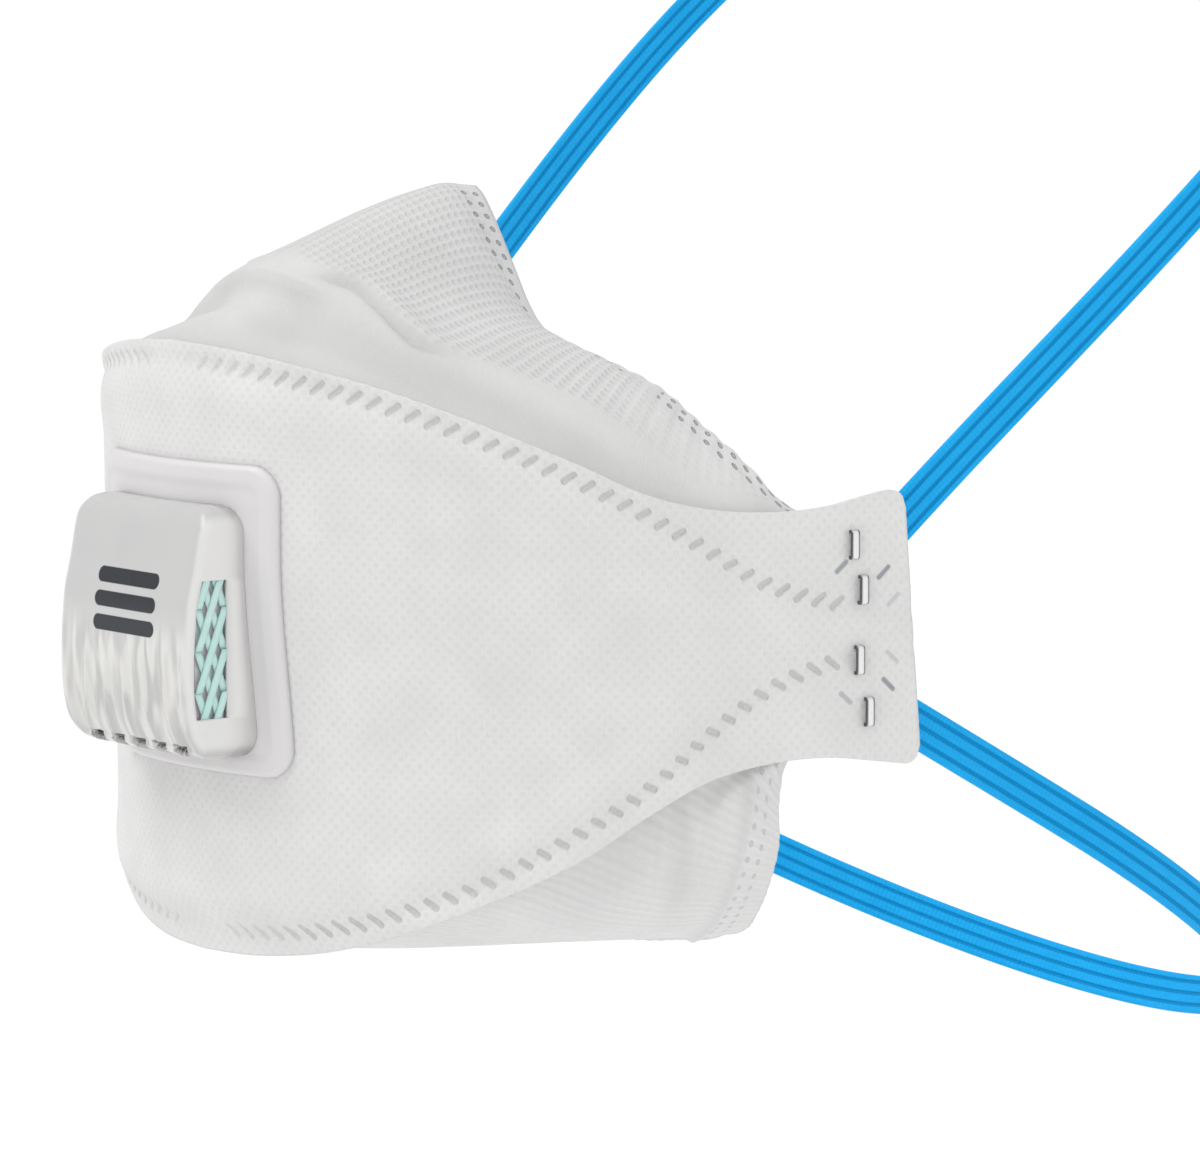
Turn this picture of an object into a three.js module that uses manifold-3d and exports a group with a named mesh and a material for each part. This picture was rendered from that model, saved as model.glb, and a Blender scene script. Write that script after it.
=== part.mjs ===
// Folding respirator mask, opened as worn: three welded cloth panels, an exhalation valve,
// two elastic headbands and the staples that hold them.
// Millimetres. X to the wearer's left, Y from the front of the mask into the face, Z up.
// The model is laid out from the middle of the mask's front, and the whole group is then
// moved so that its origin is the seat on the bridge of the nose.

import * as THREE from 'three';
import { mergeVertices } from 'three/addons/utils/BufferGeometryUtils.js';
import Module from 'manifold-3d';

const wasm = await Module();
wasm.setup();

// ---------------------------------------------------------------- driving dimensions

const GAP = 0.3;               // left between pieces that touch
const NOSE_SEAT = { y: 51.0, z: 60.4 };

const HALF_WIDTH = 70;         // plan ellipse of the centre panel, across
const DEPTH = 88;              // plan ellipse, front to the line of the tabs
const TAB_END = 85.7;          // turn of the plan at the lower corner of a tab, degrees
const TAB_RAKE = 1.7;          // the tab's end edge comes forward by this much at the top, degrees
const TAB_CORNER = 3;          // corner radius of a tab
const LEAN = 2.5;              // the lower half of the front stands back by this
const LEAN_TOP = 12;           // height where the lean starts
const LEAN_FULL = -22;         // height where it is complete
const CURL = 3.0;              // the lower rim curls back a little more
const CURL_TOP = -38;
const CURL_FULL = -47;

const PANEL_WALL = 1.6;        // centre panel: filter and two covers
const TAB_WALL = 1.0;          // the same layers, welded together in the tabs
const TAB_START = 69;          // turn where the panel starts to thin towards a tab
const TAB_FULL = 75;           // turn where it is as thin as the tab
const WEB_WALL = 1.3;          // nose and chin panels
const WEB_GAP = 0.85;          // between the webs and the back of the rims, which curve two ways
const WEB_END = 74.5;          // turn where the nose and chin panels end, under the tab
const WEB_START = 1.2;         // a web starts this far outside the weld line
const WEB_TUCK = 0.6;          // and turns over this far inside the rim's cut edge
const RIM_SHARE = 0.2;         // share of a web's faces spent along the back of the rim

const BASE = { half: 21.6, low: -20.4, high: 24.4, corner: 4.5, wall: 1.2 };
const PORT = { z: -2, radius: 9.6, seat: 11.2, face: -2.3, panelRadius: 11.7 };
const FLAP = { half: 12.4, low: -14.4, high: 10.6, corner: 3, wall: 0.7 };
const COVER = { half: 16.6, corner: 4, wall: 1.0, back: 6 };
const VENT = { count: 5, width: 3.8, pitch: 5.3, depth: 3.6, front: -6.2, back: 0.2 };
const WINDOW = { low: -11.3, high: 8.4, front: -6.8, back: -1.6 };
const WINDOW_RIB = { count: 3, wall: 0.9, lean: -35 };
const NEAR_FRONT = { turn: 32, low: -30, high: 32 };   // the part of the front around the valve
const CLEAR = 20;              // a cutting tool runs at least this far past what it cuts

const BAND_WIDTH = 6.6;
const BAND_WALL = 1.0;
const BAND_STEPS = 72;

const STAPLE = { crown: 4.2, width: 1.2, wire: 0.5, hole: 1.9 };
const STAPLE_CUT = { behind: -6, front: 3 };

// Rim of the centre panel, a row for each turn of the plan (degrees from the front's middle):
// heights of the cut edge and of the weld line, above and below.
const RIM = [
  { turn: 0, upEdge: 41.3, upWeld: 38.4, lowWeld: -43.8, lowEdge: -47.4 },
  { turn: 10, upEdge: 40.5, upWeld: 37.9, lowWeld: -43.4, lowEdge: -46.9 },
  { turn: 20, upEdge: 38.6, upWeld: 36.3, lowWeld: -41.9, lowEdge: -45.2 },
  { turn: 30, upEdge: 35.7, upWeld: 33.5, lowWeld: -38.8, lowEdge: -41.8 },
  { turn: 40, upEdge: 31.3, upWeld: 29.1, lowWeld: -33.9, lowEdge: -36.9 },
  { turn: 50, upEdge: 25.7, upWeld: 23.3, lowWeld: -26.5, lowEdge: -30.5 },
  { turn: 57, upEdge: 21.2, upWeld: 18.3, lowWeld: -20.2, lowEdge: -24.1 },
  { turn: 63, upEdge: 18.9, upWeld: 13.3, lowWeld: -13, lowEdge: -19.6 },
  { turn: 69, upEdge: 18.1, upWeld: 8.1, lowWeld: -7.2, lowEdge: -17.6 },
  { turn: 75, upEdge: 18.5, upWeld: 5.3, lowWeld: -4, lowEdge: -17.2 },
  { turn: 81, upEdge: 20.2, upWeld: 3.7, lowWeld: -2.6, lowEdge: -18.3 },
  { turn: 87, upEdge: 21.3, upWeld: 3, lowWeld: -2, lowEdge: -19.7 },
];

// Face edge of the nose panel, and how much of the crown stands over the straight line to it.
const NOSE_EDGE = [
  { turn: 0, x: 0, y: 54.8, z: 61.6, crown: 1 },
  { turn: 6, x: 3.5, y: 53.8, z: 60.1, crown: 1 },
  { turn: 12, x: 7.5, y: 53.2, z: 56.1, crown: 1 },
  { turn: 18, x: 11.5, y: 53.3, z: 50, crown: 1 },
  { turn: 24, x: 15, y: 53.4, z: 44.7, crown: 1 },
  { turn: 30, x: 18.5, y: 53.5, z: 41.5, crown: 0.95 },
  { turn: 38, x: 25, y: 54, z: 39.2, crown: 0.85 },
  { turn: 46, x: 33, y: 55, z: 37.2, crown: 0.7 },
  { turn: 54, x: 42, y: 56.3, z: 34.2, crown: 0.55 },
  { turn: 62, x: 50, y: 57.8, z: 29.2, crown: 0.4 },
  { turn: 69, x: 57, y: 59.8, z: 24.3, crown: 0.2 },
  { turn: 74.5, x: 63.2, y: 62.6, z: 17.4, crown: 0 },
];

// Face edge of the chin panel, its belly, and how far the belly turns from down to outward.
const CHIN_EDGE = [
  { turn: 0, x: 0, y: 74.8, z: -50.2, belly: 0.8, out: 0 },
  { turn: 15, x: 17, y: 74.6, z: -49.8, belly: 0.7, out: 0 },
  { turn: 27, x: 32, y: 73.6, z: -48.4, belly: 0.9, out: 10 },
  { turn: 36, x: 43, y: 71.2, z: -45.8, belly: 2.4, out: 30 },
  { turn: 44, x: 49.5, y: 68.2, z: -42.3, belly: 3.6, out: 50 },
  { turn: 52, x: 55, y: 65.9, z: -37.2, belly: 3.4, out: 62 },
  { turn: 60, x: 59.3, y: 64.2, z: -30.6, belly: 2.2, out: 72 },
  { turn: 67, x: 61.2, y: 62.6, z: -24, belly: 1, out: 80 },
  { turn: 74.5, x: 62.8, y: 62.6, z: -16.4, belly: 0, out: 80 },
];

// Height of a full crown along the way from the rim to the face edge.
const CROWN = [
  { along: 0, rise: 0 },
  { along: 0.04, rise: 0.8 },
  { along: 0.09, rise: 1.8 },
  { along: 0.18, rise: 3.4 },
  { along: 0.3, rise: 4.9 },
  { along: 0.44, rise: 4.9 },
  { along: 0.66, rise: 4.7 },
  { along: 0.84, rise: 3.6 },
  { along: 0.93, rise: 2 },
  { along: 1, rise: 0 },
];

// Front of the valve cover, from the top edge down.
const COVER_FRONT = [
  { z: 18.6, y: -4 },
  { z: 16, y: -5.4 },
  { z: 9, y: -6.9 },
  { z: 4, y: -8 },
  { z: -6, y: -8.5 },
  { z: -12.5, y: -7.8 },
  { z: -16.5, y: -5.8 },
  { z: -17.6, y: -4.2 },
];

// Each headband starts under the tab's staples and runs round the head at one slope: the
// middle of its ends, its slope from level, its half width at the ends and at the widest
// place, and how far back that place and the loop's end are.
const BANDS = [
  {
    name: 'upper_headband', y: 68.8, z: 6.1, slope: 41.7, start: 66.1, half: 77, widest: 105, reach: 202,
  },
  {
    name: 'lower_headband', y: 68.8, z: -5.8, slope: -28.95, start: 66.1, half: 67, widest: 52, reach: 141,
  },
];

// Middles of the staples of one tab, from the top down.
const STAPLES = [
  { turn: 78.2, z: 13 },
  { turn: 79.2, z: 6.5 },
  { turn: 78.7, z: -3.5 },
  { turn: 79.7, z: -11 },
];

const FINISH = {
  cloth: { color: 0xe6e5e3, roughness: 0.9, metalness: 0 },
  web: { color: 0xdedddb, roughness: 0.9, metalness: 0 },
  plastic: { color: 0xe2e0df, roughness: 0.45, metalness: 0 },
  clear: { color: 0xd8dadc, roughness: 0.15, metalness: 0 },
  rubber: { color: 0xa6dcd5, roughness: 0.5, metalness: 0 },
  elastic: { color: 0x2fa0d8, roughness: 0.7, metalness: 0 },
  wire: { color: 0xb9bcbf, roughness: 0.3, metalness: 0.9 },
};

// ---------------------------------------------------------------- shape helpers

const radians = THREE.MathUtils.degToRad;
const lerp = THREE.MathUtils.lerp;
const smoothstep = THREE.MathUtils.smoothstep;

// Value of a column of a table at a key, on a smooth curve through its rows.
function column(table, key, name, at) {
  const last = table.length - 1;
  const rising = table[last][key] > table[0][key];
  let i = 0;
  while (i < last - 1 && (rising ? table[i + 1][key] < at : table[i + 1][key] > at)) {
    i += 1;
  }
  const k0 = table[i][key];
  const k1 = table[i + 1][key];
  const f = THREE.MathUtils.clamp((at - k0) / (k1 - k0), 0, 1);
  const slopeAt = (j) => {
    const a = table[Math.max(j - 1, 0)];
    const b = table[Math.min(j + 1, last)];
    return (b[name] - a[name]) / (b[key] - a[key]);
  };
  const m0 = slopeAt(i) * (k1 - k0);
  const m1 = slopeAt(i + 1) * (k1 - k0);
  const f2 = f * f;
  const f3 = f2 * f;
  return (2 * f3 - 3 * f2 + 1) * table[i][name] + (f3 - 2 * f2 + f) * m0
    + (3 * f2 - 2 * f3) * table[i + 1][name] + (f3 - f2) * m1;
}

// Column of a table that is the same on both sides of the mask.
function mirrored(table, name, turn) {
  return column(table, 'turn', name, Math.abs(turn));
}

// How far the front stands back at a height.
function leanAt(z) {
  return LEAN * smoothstep(-z, -LEAN_TOP, -LEAN_FULL) + CURL * smoothstep(-z, -CURL_TOP, -CURL_FULL);
}

// Point of the mask's front at a turn and a height, moved out by an offset.
function frontPoint(turn, z, offset) {
  const a = radians(turn);
  const out = new THREE.Vector2(DEPTH * Math.sin(a), -HALF_WIDTH * Math.cos(a)).normalize();
  const tilt = (leanAt(z + 0.5) - leanAt(z - 0.5)) * Math.cos(a) * out.y;
  const reach = offset * Math.hypot(1, tilt);
  const x = HALF_WIDTH * Math.sin(a) + reach * out.x;
  const y = DEPTH * (1 - Math.cos(a)) + reach * out.y + leanAt(z) * Math.cos(a);
  return new THREE.Vector3(x, y, z);
}

// A closed wall: a box with many faces whose corners are moved onto two facing surfaces.
// surface(u, v) gives a point, u and v from 0 to 1; the wall grows from it against its normal,
// by thickness(u). spread moves the columns of faces along u.
function wall(uSteps, vSteps, surface, thickness, spread = (u) => u) {
  const box = new THREE.BoxGeometry(1, 1, 1, uSteps, vSteps, 1);
  const place = box.attributes.position;
  const step = 1e-3;
  const at = (u, v) => surface(THREE.MathUtils.clamp(u, 0, 1), THREE.MathUtils.clamp(v, 0, 1));
  for (let i = 0; i < place.count; i += 1) {
    const u = spread(place.getX(i) + 0.5);
    const v = place.getY(i) + 0.5;
    const point = at(u, v);
    if (place.getZ(i) < 0) {
      const along = at(u + step, v).sub(at(u - step, v));
      const across = at(u, v + step).sub(at(u, v - step));
      point.addScaledVector(along.cross(across).normalize(), -thickness(u));
    }
    place.setXYZ(i, point.x, point.y, point.z);
  }
  return box;
}

// A plate: an outline in X and Z, run through from one Y to another.
function prism(outline, yFront, yBack) {
  const plate = new THREE.ExtrudeGeometry(outline, {
    depth: yBack - yFront, bevelEnabled: false, curveSegments: 5,
  });
  plate.rotateX(Math.PI / 2);
  plate.translate(0, yBack, 0);
  return plate;
}

// Rectangle with round corners.
function rounded(left, low, right, high, radius) {
  const s = new THREE.Shape();
  s.moveTo(left + radius, low);
  s.lineTo(right - radius, low);
  s.absarc(right - radius, low + radius, radius, -Math.PI / 2, 0);
  s.lineTo(right, high - radius);
  s.absarc(right - radius, high - radius, radius, 0, Math.PI / 2);
  s.lineTo(left + radius, high);
  s.absarc(left + radius, high - radius, radius, Math.PI / 2, Math.PI);
  s.lineTo(left, low + radius);
  s.absarc(left + radius, low + radius, radius, Math.PI, Math.PI * 1.5);
  return s;
}

function disc(x, z, radius) {
  const s = new THREE.Shape();
  s.absarc(x, z, radius, 0, Math.PI * 2);
  return s;
}

// Round post along Y.
function post(z, radius, yFront, yBack, sides) {
  const g = new THREE.CylinderGeometry(radius, radius, yBack - yFront, sides);
  g.translate(0, (yFront + yBack) / 2, z);
  return g;
}

function boxAt(x0, x1, y0, y1, z0, z1) {
  const g = new THREE.BoxGeometry(x1 - x0, y1 - y0, z1 - z0);
  g.translate((x0 + x1) / 2, (y0 + y1) / 2, (z0 + z1) / 2);
  return g;
}

function solid(geometry) {
  const bare = geometry.clone();
  bare.deleteAttribute('normal');
  bare.deleteAttribute('uv');
  const merged = mergeVertices(bare, 1e-4);
  return new wasm.Manifold(new wasm.Mesh({
    numProp: 3,
    vertProperties: new Float32Array(merged.attributes.position.array),
    triVerts: new Uint32Array(merged.index.array),
  }));
}

function geometryOf(manifold) {
  const mesh = manifold.getMesh();
  const g = new THREE.BufferGeometry();
  g.setAttribute('position', new THREE.BufferAttribute(new Float32Array(mesh.vertProperties), 3));
  g.setIndex(new THREE.BufferAttribute(new Uint32Array(mesh.triVerts), 1));
  g.computeVertexNormals();
  return g;
}

function named(name, geometry, finish) {
  const mesh = new THREE.Mesh(geometry, new THREE.MeshStandardMaterial(finish));
  mesh.name = name;
  return mesh;
}

// ---------------------------------------------------------------- cloth panels

// Centre panel: u runs from the right tab's end to the left one, v from the lower edge up.
function centreSurface(u, v) {
  const end = TAB_END - TAB_RAKE * v;
  const turn = (2 * u - 1) * end;
  const fromEnd = radians(end - Math.abs(turn)) * DEPTH;
  const inset = TAB_CORNER - Math.min(fromEnd, TAB_CORNER);
  const cut = TAB_CORNER - Math.sqrt(TAB_CORNER ** 2 - inset ** 2);
  const low = mirrored(RIM, 'lowEdge', turn) + cut;
  const high = mirrored(RIM, 'upEdge', turn) - cut;
  return frontPoint(turn, lerp(low, high, v), 0);
}

function centreWall(u) {
  const turn = Math.abs(2 * u - 1) * TAB_END;
  return lerp(PANEL_WALL, TAB_WALL, smoothstep(turn, TAB_START, TAB_FULL));
}

// More columns of faces near the ends, where the tab's corners are.
function towardsEnds(u) {
  const crowding = 0.011;
  return u - crowding * Math.sin(4 * Math.PI * u);
}

function stapleFrame(row, side) {
  const frame = new THREE.Group();
  const foot = frontPoint(row.turn, row.z, 0);
  frame.position.set(side * foot.x, foot.y, foot.z);
  frame.rotation.z = side * radians(row.turn - 90);
  frame.updateMatrix();
  return frame.matrix;
}

function stapleHoles() {
  const cuts = [];
  for (const side of [-1, 1]) {
    for (const row of STAPLES) {
      const across = STAPLE.hole / 2;
      const up = STAPLE.crown / 2 + GAP;
      const cut = boxAt(STAPLE_CUT.behind, STAPLE_CUT.front, -across, across, -up, up);
      if (side < 0) {
        cut.rotateZ(Math.PI);
      }
      cuts.push(solid(cut.applyMatrix4(stapleFrame(row, side))));
    }
  }
  return cuts;
}

function centrePanel(holes) {
  let body = solid(wall(56, 14, centreSurface, centreWall, towardsEnds));
  body = body.subtract(solid(post(PORT.z, PORT.panelRadius, -CLEAR, CLEAR, 40)));
  for (const hole of holes) {
    body = body.subtract(hole);
  }
  return named('centre_panel', geometryOf(body), FINISH.cloth);
}

// A web starts behind the centre panel near the weld line, follows the back of the rim,
// turns over just inside the cut edge and goes straight to its face edge.
function webPoint(turn, v, start, rim, table) {
  const behind = -(PANEL_WALL + WEB_GAP);
  if (v <= RIM_SHARE) {
    return frontPoint(turn, lerp(start, rim, v / RIM_SHARE), behind);
  }
  const edge = new THREE.Vector3(
    Math.sign(turn) * mirrored(table, 'x', turn),
    mirrored(table, 'y', turn),
    mirrored(table, 'z', turn),
  );
  return frontPoint(turn, rim, behind).lerp(edge, pastRim(v));
}

function pastRim(v) {
  return Math.max(v - RIM_SHARE, 0) / (1 - RIM_SHARE);
}

// Nose panel: straight from rim to face edge, with a low crown over it.
function noseSurface(u, v) {
  const turn = (2 * u - 1) * WEB_END;
  const start = mirrored(RIM, 'upWeld', turn) - WEB_START;
  const rim = mirrored(RIM, 'upEdge', turn) - WEB_TUCK;
  const point = webPoint(turn, v, start, rim, NOSE_EDGE);
  point.z += mirrored(NOSE_EDGE, 'crown', turn) * column(CROWN, 'along', 'rise', pastRim(v));
  return point;
}

// Chin panel: straight from rim to face edge, with a belly that turns from down to outward.
function chinSurface(u, v) {
  const turn = (1 - 2 * u) * WEB_END;
  const start = mirrored(RIM, 'lowWeld', turn) + WEB_START;
  const rim = mirrored(RIM, 'lowEdge', turn) + WEB_TUCK;
  const point = webPoint(turn, v, start, rim, CHIN_EDGE);
  const along = pastRim(v);
  const swell = Math.sin(Math.PI * along ** 0.8) * smoothstep(along, 0, 0.3);
  const belly = mirrored(CHIN_EDGE, 'belly', turn) * swell;
  const out = radians(mirrored(CHIN_EDGE, 'out', turn));
  point.x += Math.sign(turn) * belly * Math.sin(out);
  point.z -= belly * Math.cos(out);
  return point;
}

function nosePanel() {
  return named('nose_panel', wall(46, 13, noseSurface, () => WEB_WALL), FINISH.web);
}

function chinPanel() {
  return named('chin_panel', wall(46, 11, chinSurface, () => WEB_WALL), FINISH.web);
}

// ---------------------------------------------------------------- valve

// Everything within a distance of the centre panel's face, in front of and behind it.
function nearFront(front, back) {
  const { turn, low, high } = NEAR_FRONT;
  const surface = (u, v) => frontPoint(lerp(-turn, turn, u), lerp(low, high, v), front);
  return solid(wall(16, 7, surface, () => front - back));
}

function valveBase() {
  const outline = rounded(-BASE.half, BASE.low, BASE.half, BASE.high, BASE.corner);
  const plate = nearFront(GAP + BASE.wall, GAP).intersect(solid(prism(outline, -CLEAR, CLEAR)));
  const seat = solid(post(PORT.z, PORT.seat, PORT.face, COVER.back, 40)).subtract(nearFront(GAP, -CLEAR));
  const bore = solid(post(PORT.z, PORT.radius, -CLEAR, CLEAR, 40));
  return named('valve_base', geometryOf(plate.add(seat).subtract(bore)), FINISH.plastic);
}

function valveFlap() {
  const outline = rounded(-FLAP.half, FLAP.low, FLAP.half, FLAP.high, FLAP.corner);
  const back = PORT.face - GAP;
  return named('valve_flap', geometryOf(solid(prism(outline, back - FLAP.wall, back))), FINISH.rubber);
}

// Body between the cover's front and its back, made smaller all round by an inset.
function coverBody(inset) {
  const side = new THREE.Shape();
  const rows = COVER_FRONT.length * 4;
  const top = COVER_FRONT[0].z - inset;
  const low = COVER_FRONT[COVER_FRONT.length - 1].z + inset;
  side.moveTo(COVER.back, low);
  side.lineTo(COVER.back, top);
  for (let i = 0; i <= rows; i += 1) {
    const z = lerp(top, low, i / rows);
    side.lineTo(column(COVER_FRONT, 'z', 'y', z) + inset, z);
  }
  side.closePath();
  const width = 2 * (COVER.half - inset);
  const run = new THREE.ExtrudeGeometry(side, { depth: width, bevelEnabled: false });
  run.applyMatrix4(new THREE.Matrix4().makeBasis(
    new THREE.Vector3(0, 1, 0), new THREE.Vector3(0, 0, 1), new THREE.Vector3(1, 0, 0),
  ));
  run.translate(-width / 2, 0, 0);
  const corner = COVER.corner - inset;
  const outline = rounded(-width / 2, low, width / 2, top, corner);
  return solid(run).intersect(solid(prism(outline, -CLEAR, CLEAR)));
}

// What is cut from a side wall of the cover: an opening with leaning ribs left across it.
function coverWindow(side) {
  const depth = 2 * COVER.wall;
  const middle = side * (COVER.half - COVER.wall / 2);
  let opening = solid(boxAt(
    middle - depth, middle + depth, WINDOW.front, WINDOW.back, WINDOW.low, WINDOW.high,
  ));
  const pitch = (WINDOW.high - WINDOW.low) / (WINDOW_RIB.count + 1);
  for (let i = 1; i <= WINDOW_RIB.count; i += 1) {
    const rib = new THREE.BoxGeometry(3 * depth, CLEAR, WINDOW_RIB.wall);
    rib.rotateX(radians(WINDOW_RIB.lean));
    rib.translate(middle, (WINDOW.front + WINDOW.back) / 2, WINDOW.low + i * pitch);
    opening = opening.subtract(solid(rib));
  }
  return opening;
}

function valveCover() {
  let body = coverBody(0).subtract(coverBody(COVER.wall));
  body = body.subtract(nearFront(2 * GAP + BASE.wall, -CLEAR));
  const low = COVER_FRONT[COVER_FRONT.length - 1].z;
  for (let i = 0; i < VENT.count; i += 1) {
    const x = (i - (VENT.count - 1) / 2) * VENT.pitch;
    const vent = boxAt(
      x - VENT.width / 2, x + VENT.width / 2, VENT.front, VENT.back, low - CLEAR, low + VENT.depth,
    );
    body = body.subtract(solid(vent));
  }
  for (const side of [-1, 1]) {
    body = body.subtract(coverWindow(side));
  }
  return named('valve_cover', geometryOf(body), FINISH.clear);
}

// ---------------------------------------------------------------- headbands and staples

// Half width of a band's loop at a distance from its start: a gentle opening as far as the
// widest place, then the half of an ellipse round the back of the head.
function bandHalf(band, along) {
  if (along <= band.widest) {
    const f = along / band.widest;
    const quick = 0.28;
    return lerp(band.start, band.half, (1 - quick) * f * f * (3 - 2 * f) + quick * f * (2 - f));
  }
  const f = (along - band.widest) / (band.reach - band.widest);
  return band.half * Math.sqrt(Math.max(1 - f * f, 0));
}

function bandCurve(band) {
  const steps = 24;
  const half = [];
  for (let i = 0; i < steps; i += 1) {
    const f = i / steps;
    const along = f < 0.5
      ? band.widest * f * 2
      : band.widest + (band.reach - band.widest) * Math.sin((f - 0.5) * Math.PI);
    half.push(new THREE.Vector2(bandHalf(band, along), along));
  }
  const loop = [
    ...half,
    new THREE.Vector2(0, band.reach),
    ...half.map((p) => new THREE.Vector2(-p.x, p.y)).reverse(),
  ];
  const slope = radians(band.slope);
  return new THREE.CatmullRomCurve3(loop.map((p) => new THREE.Vector3(
    p.x, band.y + p.y * Math.cos(slope), band.z + p.y * Math.sin(slope),
  )), false, 'centripetal');
}

function headband(band, holes) {
  const curve = bandCurve(band);
  curve.arcLengthDivisions = 600;
  const slope = radians(band.slope);
  const side = new THREE.Vector3(0, -Math.sin(slope), Math.cos(slope));
  const surface = (u, v) => {
    const out = curve.getTangentAt(u).cross(side);
    const point = curve.getPointAt(u).addScaledVector(side, (v - 0.5) * BAND_WIDTH);
    return point.addScaledVector(out, BAND_WALL / 2);
  };
  let body = solid(wall(BAND_STEPS, 1, surface, () => BAND_WALL));
  for (const hole of holes) {
    body = body.subtract(hole);
  }
  return named(band.name, geometryOf(body), FINISH.elastic);
}

// One staple: a flat crown on the tab's face and two legs through tab and band, turned in.
function staple(name, row, side) {
  const { crown, width, wire } = STAPLE;
  const legEnd = -(TAB_WALL + GAP + BAND_WALL + GAP + wire);
  const half = crown / 2;
  const top = solid(boxAt(GAP, GAP + wire, -width / 2, width / 2, -half, half));
  const upLeg = solid(boxAt(legEnd, GAP + wire, -width / 2, width / 2, half - wire, half));
  const lowLeg = solid(boxAt(legEnd, GAP + wire, -width / 2, width / 2, -half, wire - half));
  const upFoot = solid(boxAt(legEnd, legEnd + wire, -width / 2, width / 2, GAP, half));
  const lowFoot = solid(boxAt(legEnd, legEnd + wire, -width / 2, width / 2, -half, -GAP));
  const body = geometryOf(top.add(upLeg).add(lowLeg).add(upFoot).add(lowFoot));
  if (side < 0) {
    body.rotateZ(Math.PI);
  }
  body.applyMatrix4(stapleFrame(row, side));
  return named(name, body, FINISH.wire);
}

// ---------------------------------------------------------------- the mask

const mask = new THREE.Group();
const holes = stapleHoles();
mask.add(centrePanel(holes));
mask.add(nosePanel());
mask.add(chinPanel());
mask.add(valveBase());
mask.add(valveFlap());
mask.add(valveCover());
for (const band of BANDS) {
  mask.add(headband(band, holes));
}
for (const [word, side] of [['left', 1], ['right', -1]]) {
  STAPLES.forEach((row, i) => {
    mask.add(staple(`staple_${word}_${i + 1}`, row, side));
  });
}
mask.position.set(0, -NOSE_SEAT.y, -NOSE_SEAT.z);
mask.updateMatrixWorld(true);

export default mask;
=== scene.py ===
"""Folding respirator mask, opened as worn: three welded cloth panels, an exhalation valve with
a clear cover, four staples on each tab and two ribbed elastic headbands.

Lengths in the tables are millimetres, laid out from the middle of the mask's front: X to the
wearer's left, Y from the front into the face, Z up. placed() moves them to the frame, whose
origin is the seat on the bridge of the nose, in metres.
"""

import math
from collections import namedtuple
from functools import lru_cache

import bmesh
import bpy
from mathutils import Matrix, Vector


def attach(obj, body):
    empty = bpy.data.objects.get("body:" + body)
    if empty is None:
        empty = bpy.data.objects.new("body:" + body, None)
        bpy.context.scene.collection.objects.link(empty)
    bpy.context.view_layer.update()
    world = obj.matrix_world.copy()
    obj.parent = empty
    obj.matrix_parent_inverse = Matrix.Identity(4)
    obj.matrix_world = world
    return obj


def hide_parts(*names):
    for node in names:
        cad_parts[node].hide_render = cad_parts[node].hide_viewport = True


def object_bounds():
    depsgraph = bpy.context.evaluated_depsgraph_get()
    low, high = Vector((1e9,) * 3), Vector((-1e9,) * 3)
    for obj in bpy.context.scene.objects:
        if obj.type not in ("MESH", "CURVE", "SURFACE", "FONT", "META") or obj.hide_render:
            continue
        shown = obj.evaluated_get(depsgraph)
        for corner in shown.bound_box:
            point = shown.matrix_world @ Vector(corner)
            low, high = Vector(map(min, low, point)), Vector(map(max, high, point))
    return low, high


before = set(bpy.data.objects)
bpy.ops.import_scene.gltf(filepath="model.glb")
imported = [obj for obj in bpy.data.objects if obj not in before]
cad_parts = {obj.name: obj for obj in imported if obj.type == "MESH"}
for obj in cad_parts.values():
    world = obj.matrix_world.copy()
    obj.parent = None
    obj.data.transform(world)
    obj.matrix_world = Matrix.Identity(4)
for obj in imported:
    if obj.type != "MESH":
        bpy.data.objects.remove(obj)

cad_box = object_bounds()

# ------------------------------------------------------------------ driving sizes, in mm

MM = 0.001
NOSE_SEAT = Vector((0.0, 51.0, 60.4))
GAP = 0.3

HALF_WIDTH = 70.0            # plan ellipse of the centre panel
DEPTH = 88.0
TAB_END = 85.7               # turn of the plan at a tab's lower corner, degrees
TAB_RAKE = 1.7
TAB_CORNER = 3.0
LEAN = 2.5                   # the lower half of the front stands back
LEAN_TOP = 12.0
LEAN_FULL = -22.0
CURL = 3.0
CURL_TOP = -38.0
CURL_FULL = -47.0

PANEL_WALL = 1.6
TAB_WALL = 1.0
TAB_START = 69.0
TAB_FULL = 75.0
WEB_WALL = 1.3
WEB_GAP = 0.85
WEB_END = 74.5
WEB_START = 1.2
WEB_TUCK = 0.6
RIM_SHARE = 0.1              # share of a web's rows that lie along the back of the rim

BASE_HALF, BASE_LOW, BASE_HIGH, BASE_CORNER, BASE_WALL = 21.6, -20.4, 24.4, 4.5, 1.2
COVER_HALF, COVER_LOW, COVER_HIGH, COVER_CORNER, COVER_WALL = 16.6, -17.6, 18.6, 4.0, 1.0
COVER_FILLET = 1.1
PORT_HEIGHT, PORT_RADIUS, SEAT_RADIUS, SEAT_FACE, SEAT_BACK = -2.0, 9.6, 11.2, -2.3, 6.0
PANEL_HOLE = 11.7
FLAP_HALF, FLAP_LOW, FLAP_HIGH, FLAP_CORNER, FLAP_WALL = 12.4, -14.4, 10.6, 3.0, 0.7
WINDOW_LOW, WINDOW_HIGH, WINDOW_BACK = -11.3, 8.4, -1.6
RIB_THICK, RIB_WIDE, RIB_TALL = 0.25, 0.66, 12.0
RIB_STARTS = (-19.5, -13.5, -7.5, -1.5, 4.5)

BAND_WIDTH = 6.6
BAND_WALL = 1.0
BAND_GROOVES = (-1.95, 0.0, 1.95)

STAPLE_CROWN, STAPLE_WIDTH, STAPLE_WIRE = 4.2, 1.2, 0.5

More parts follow.
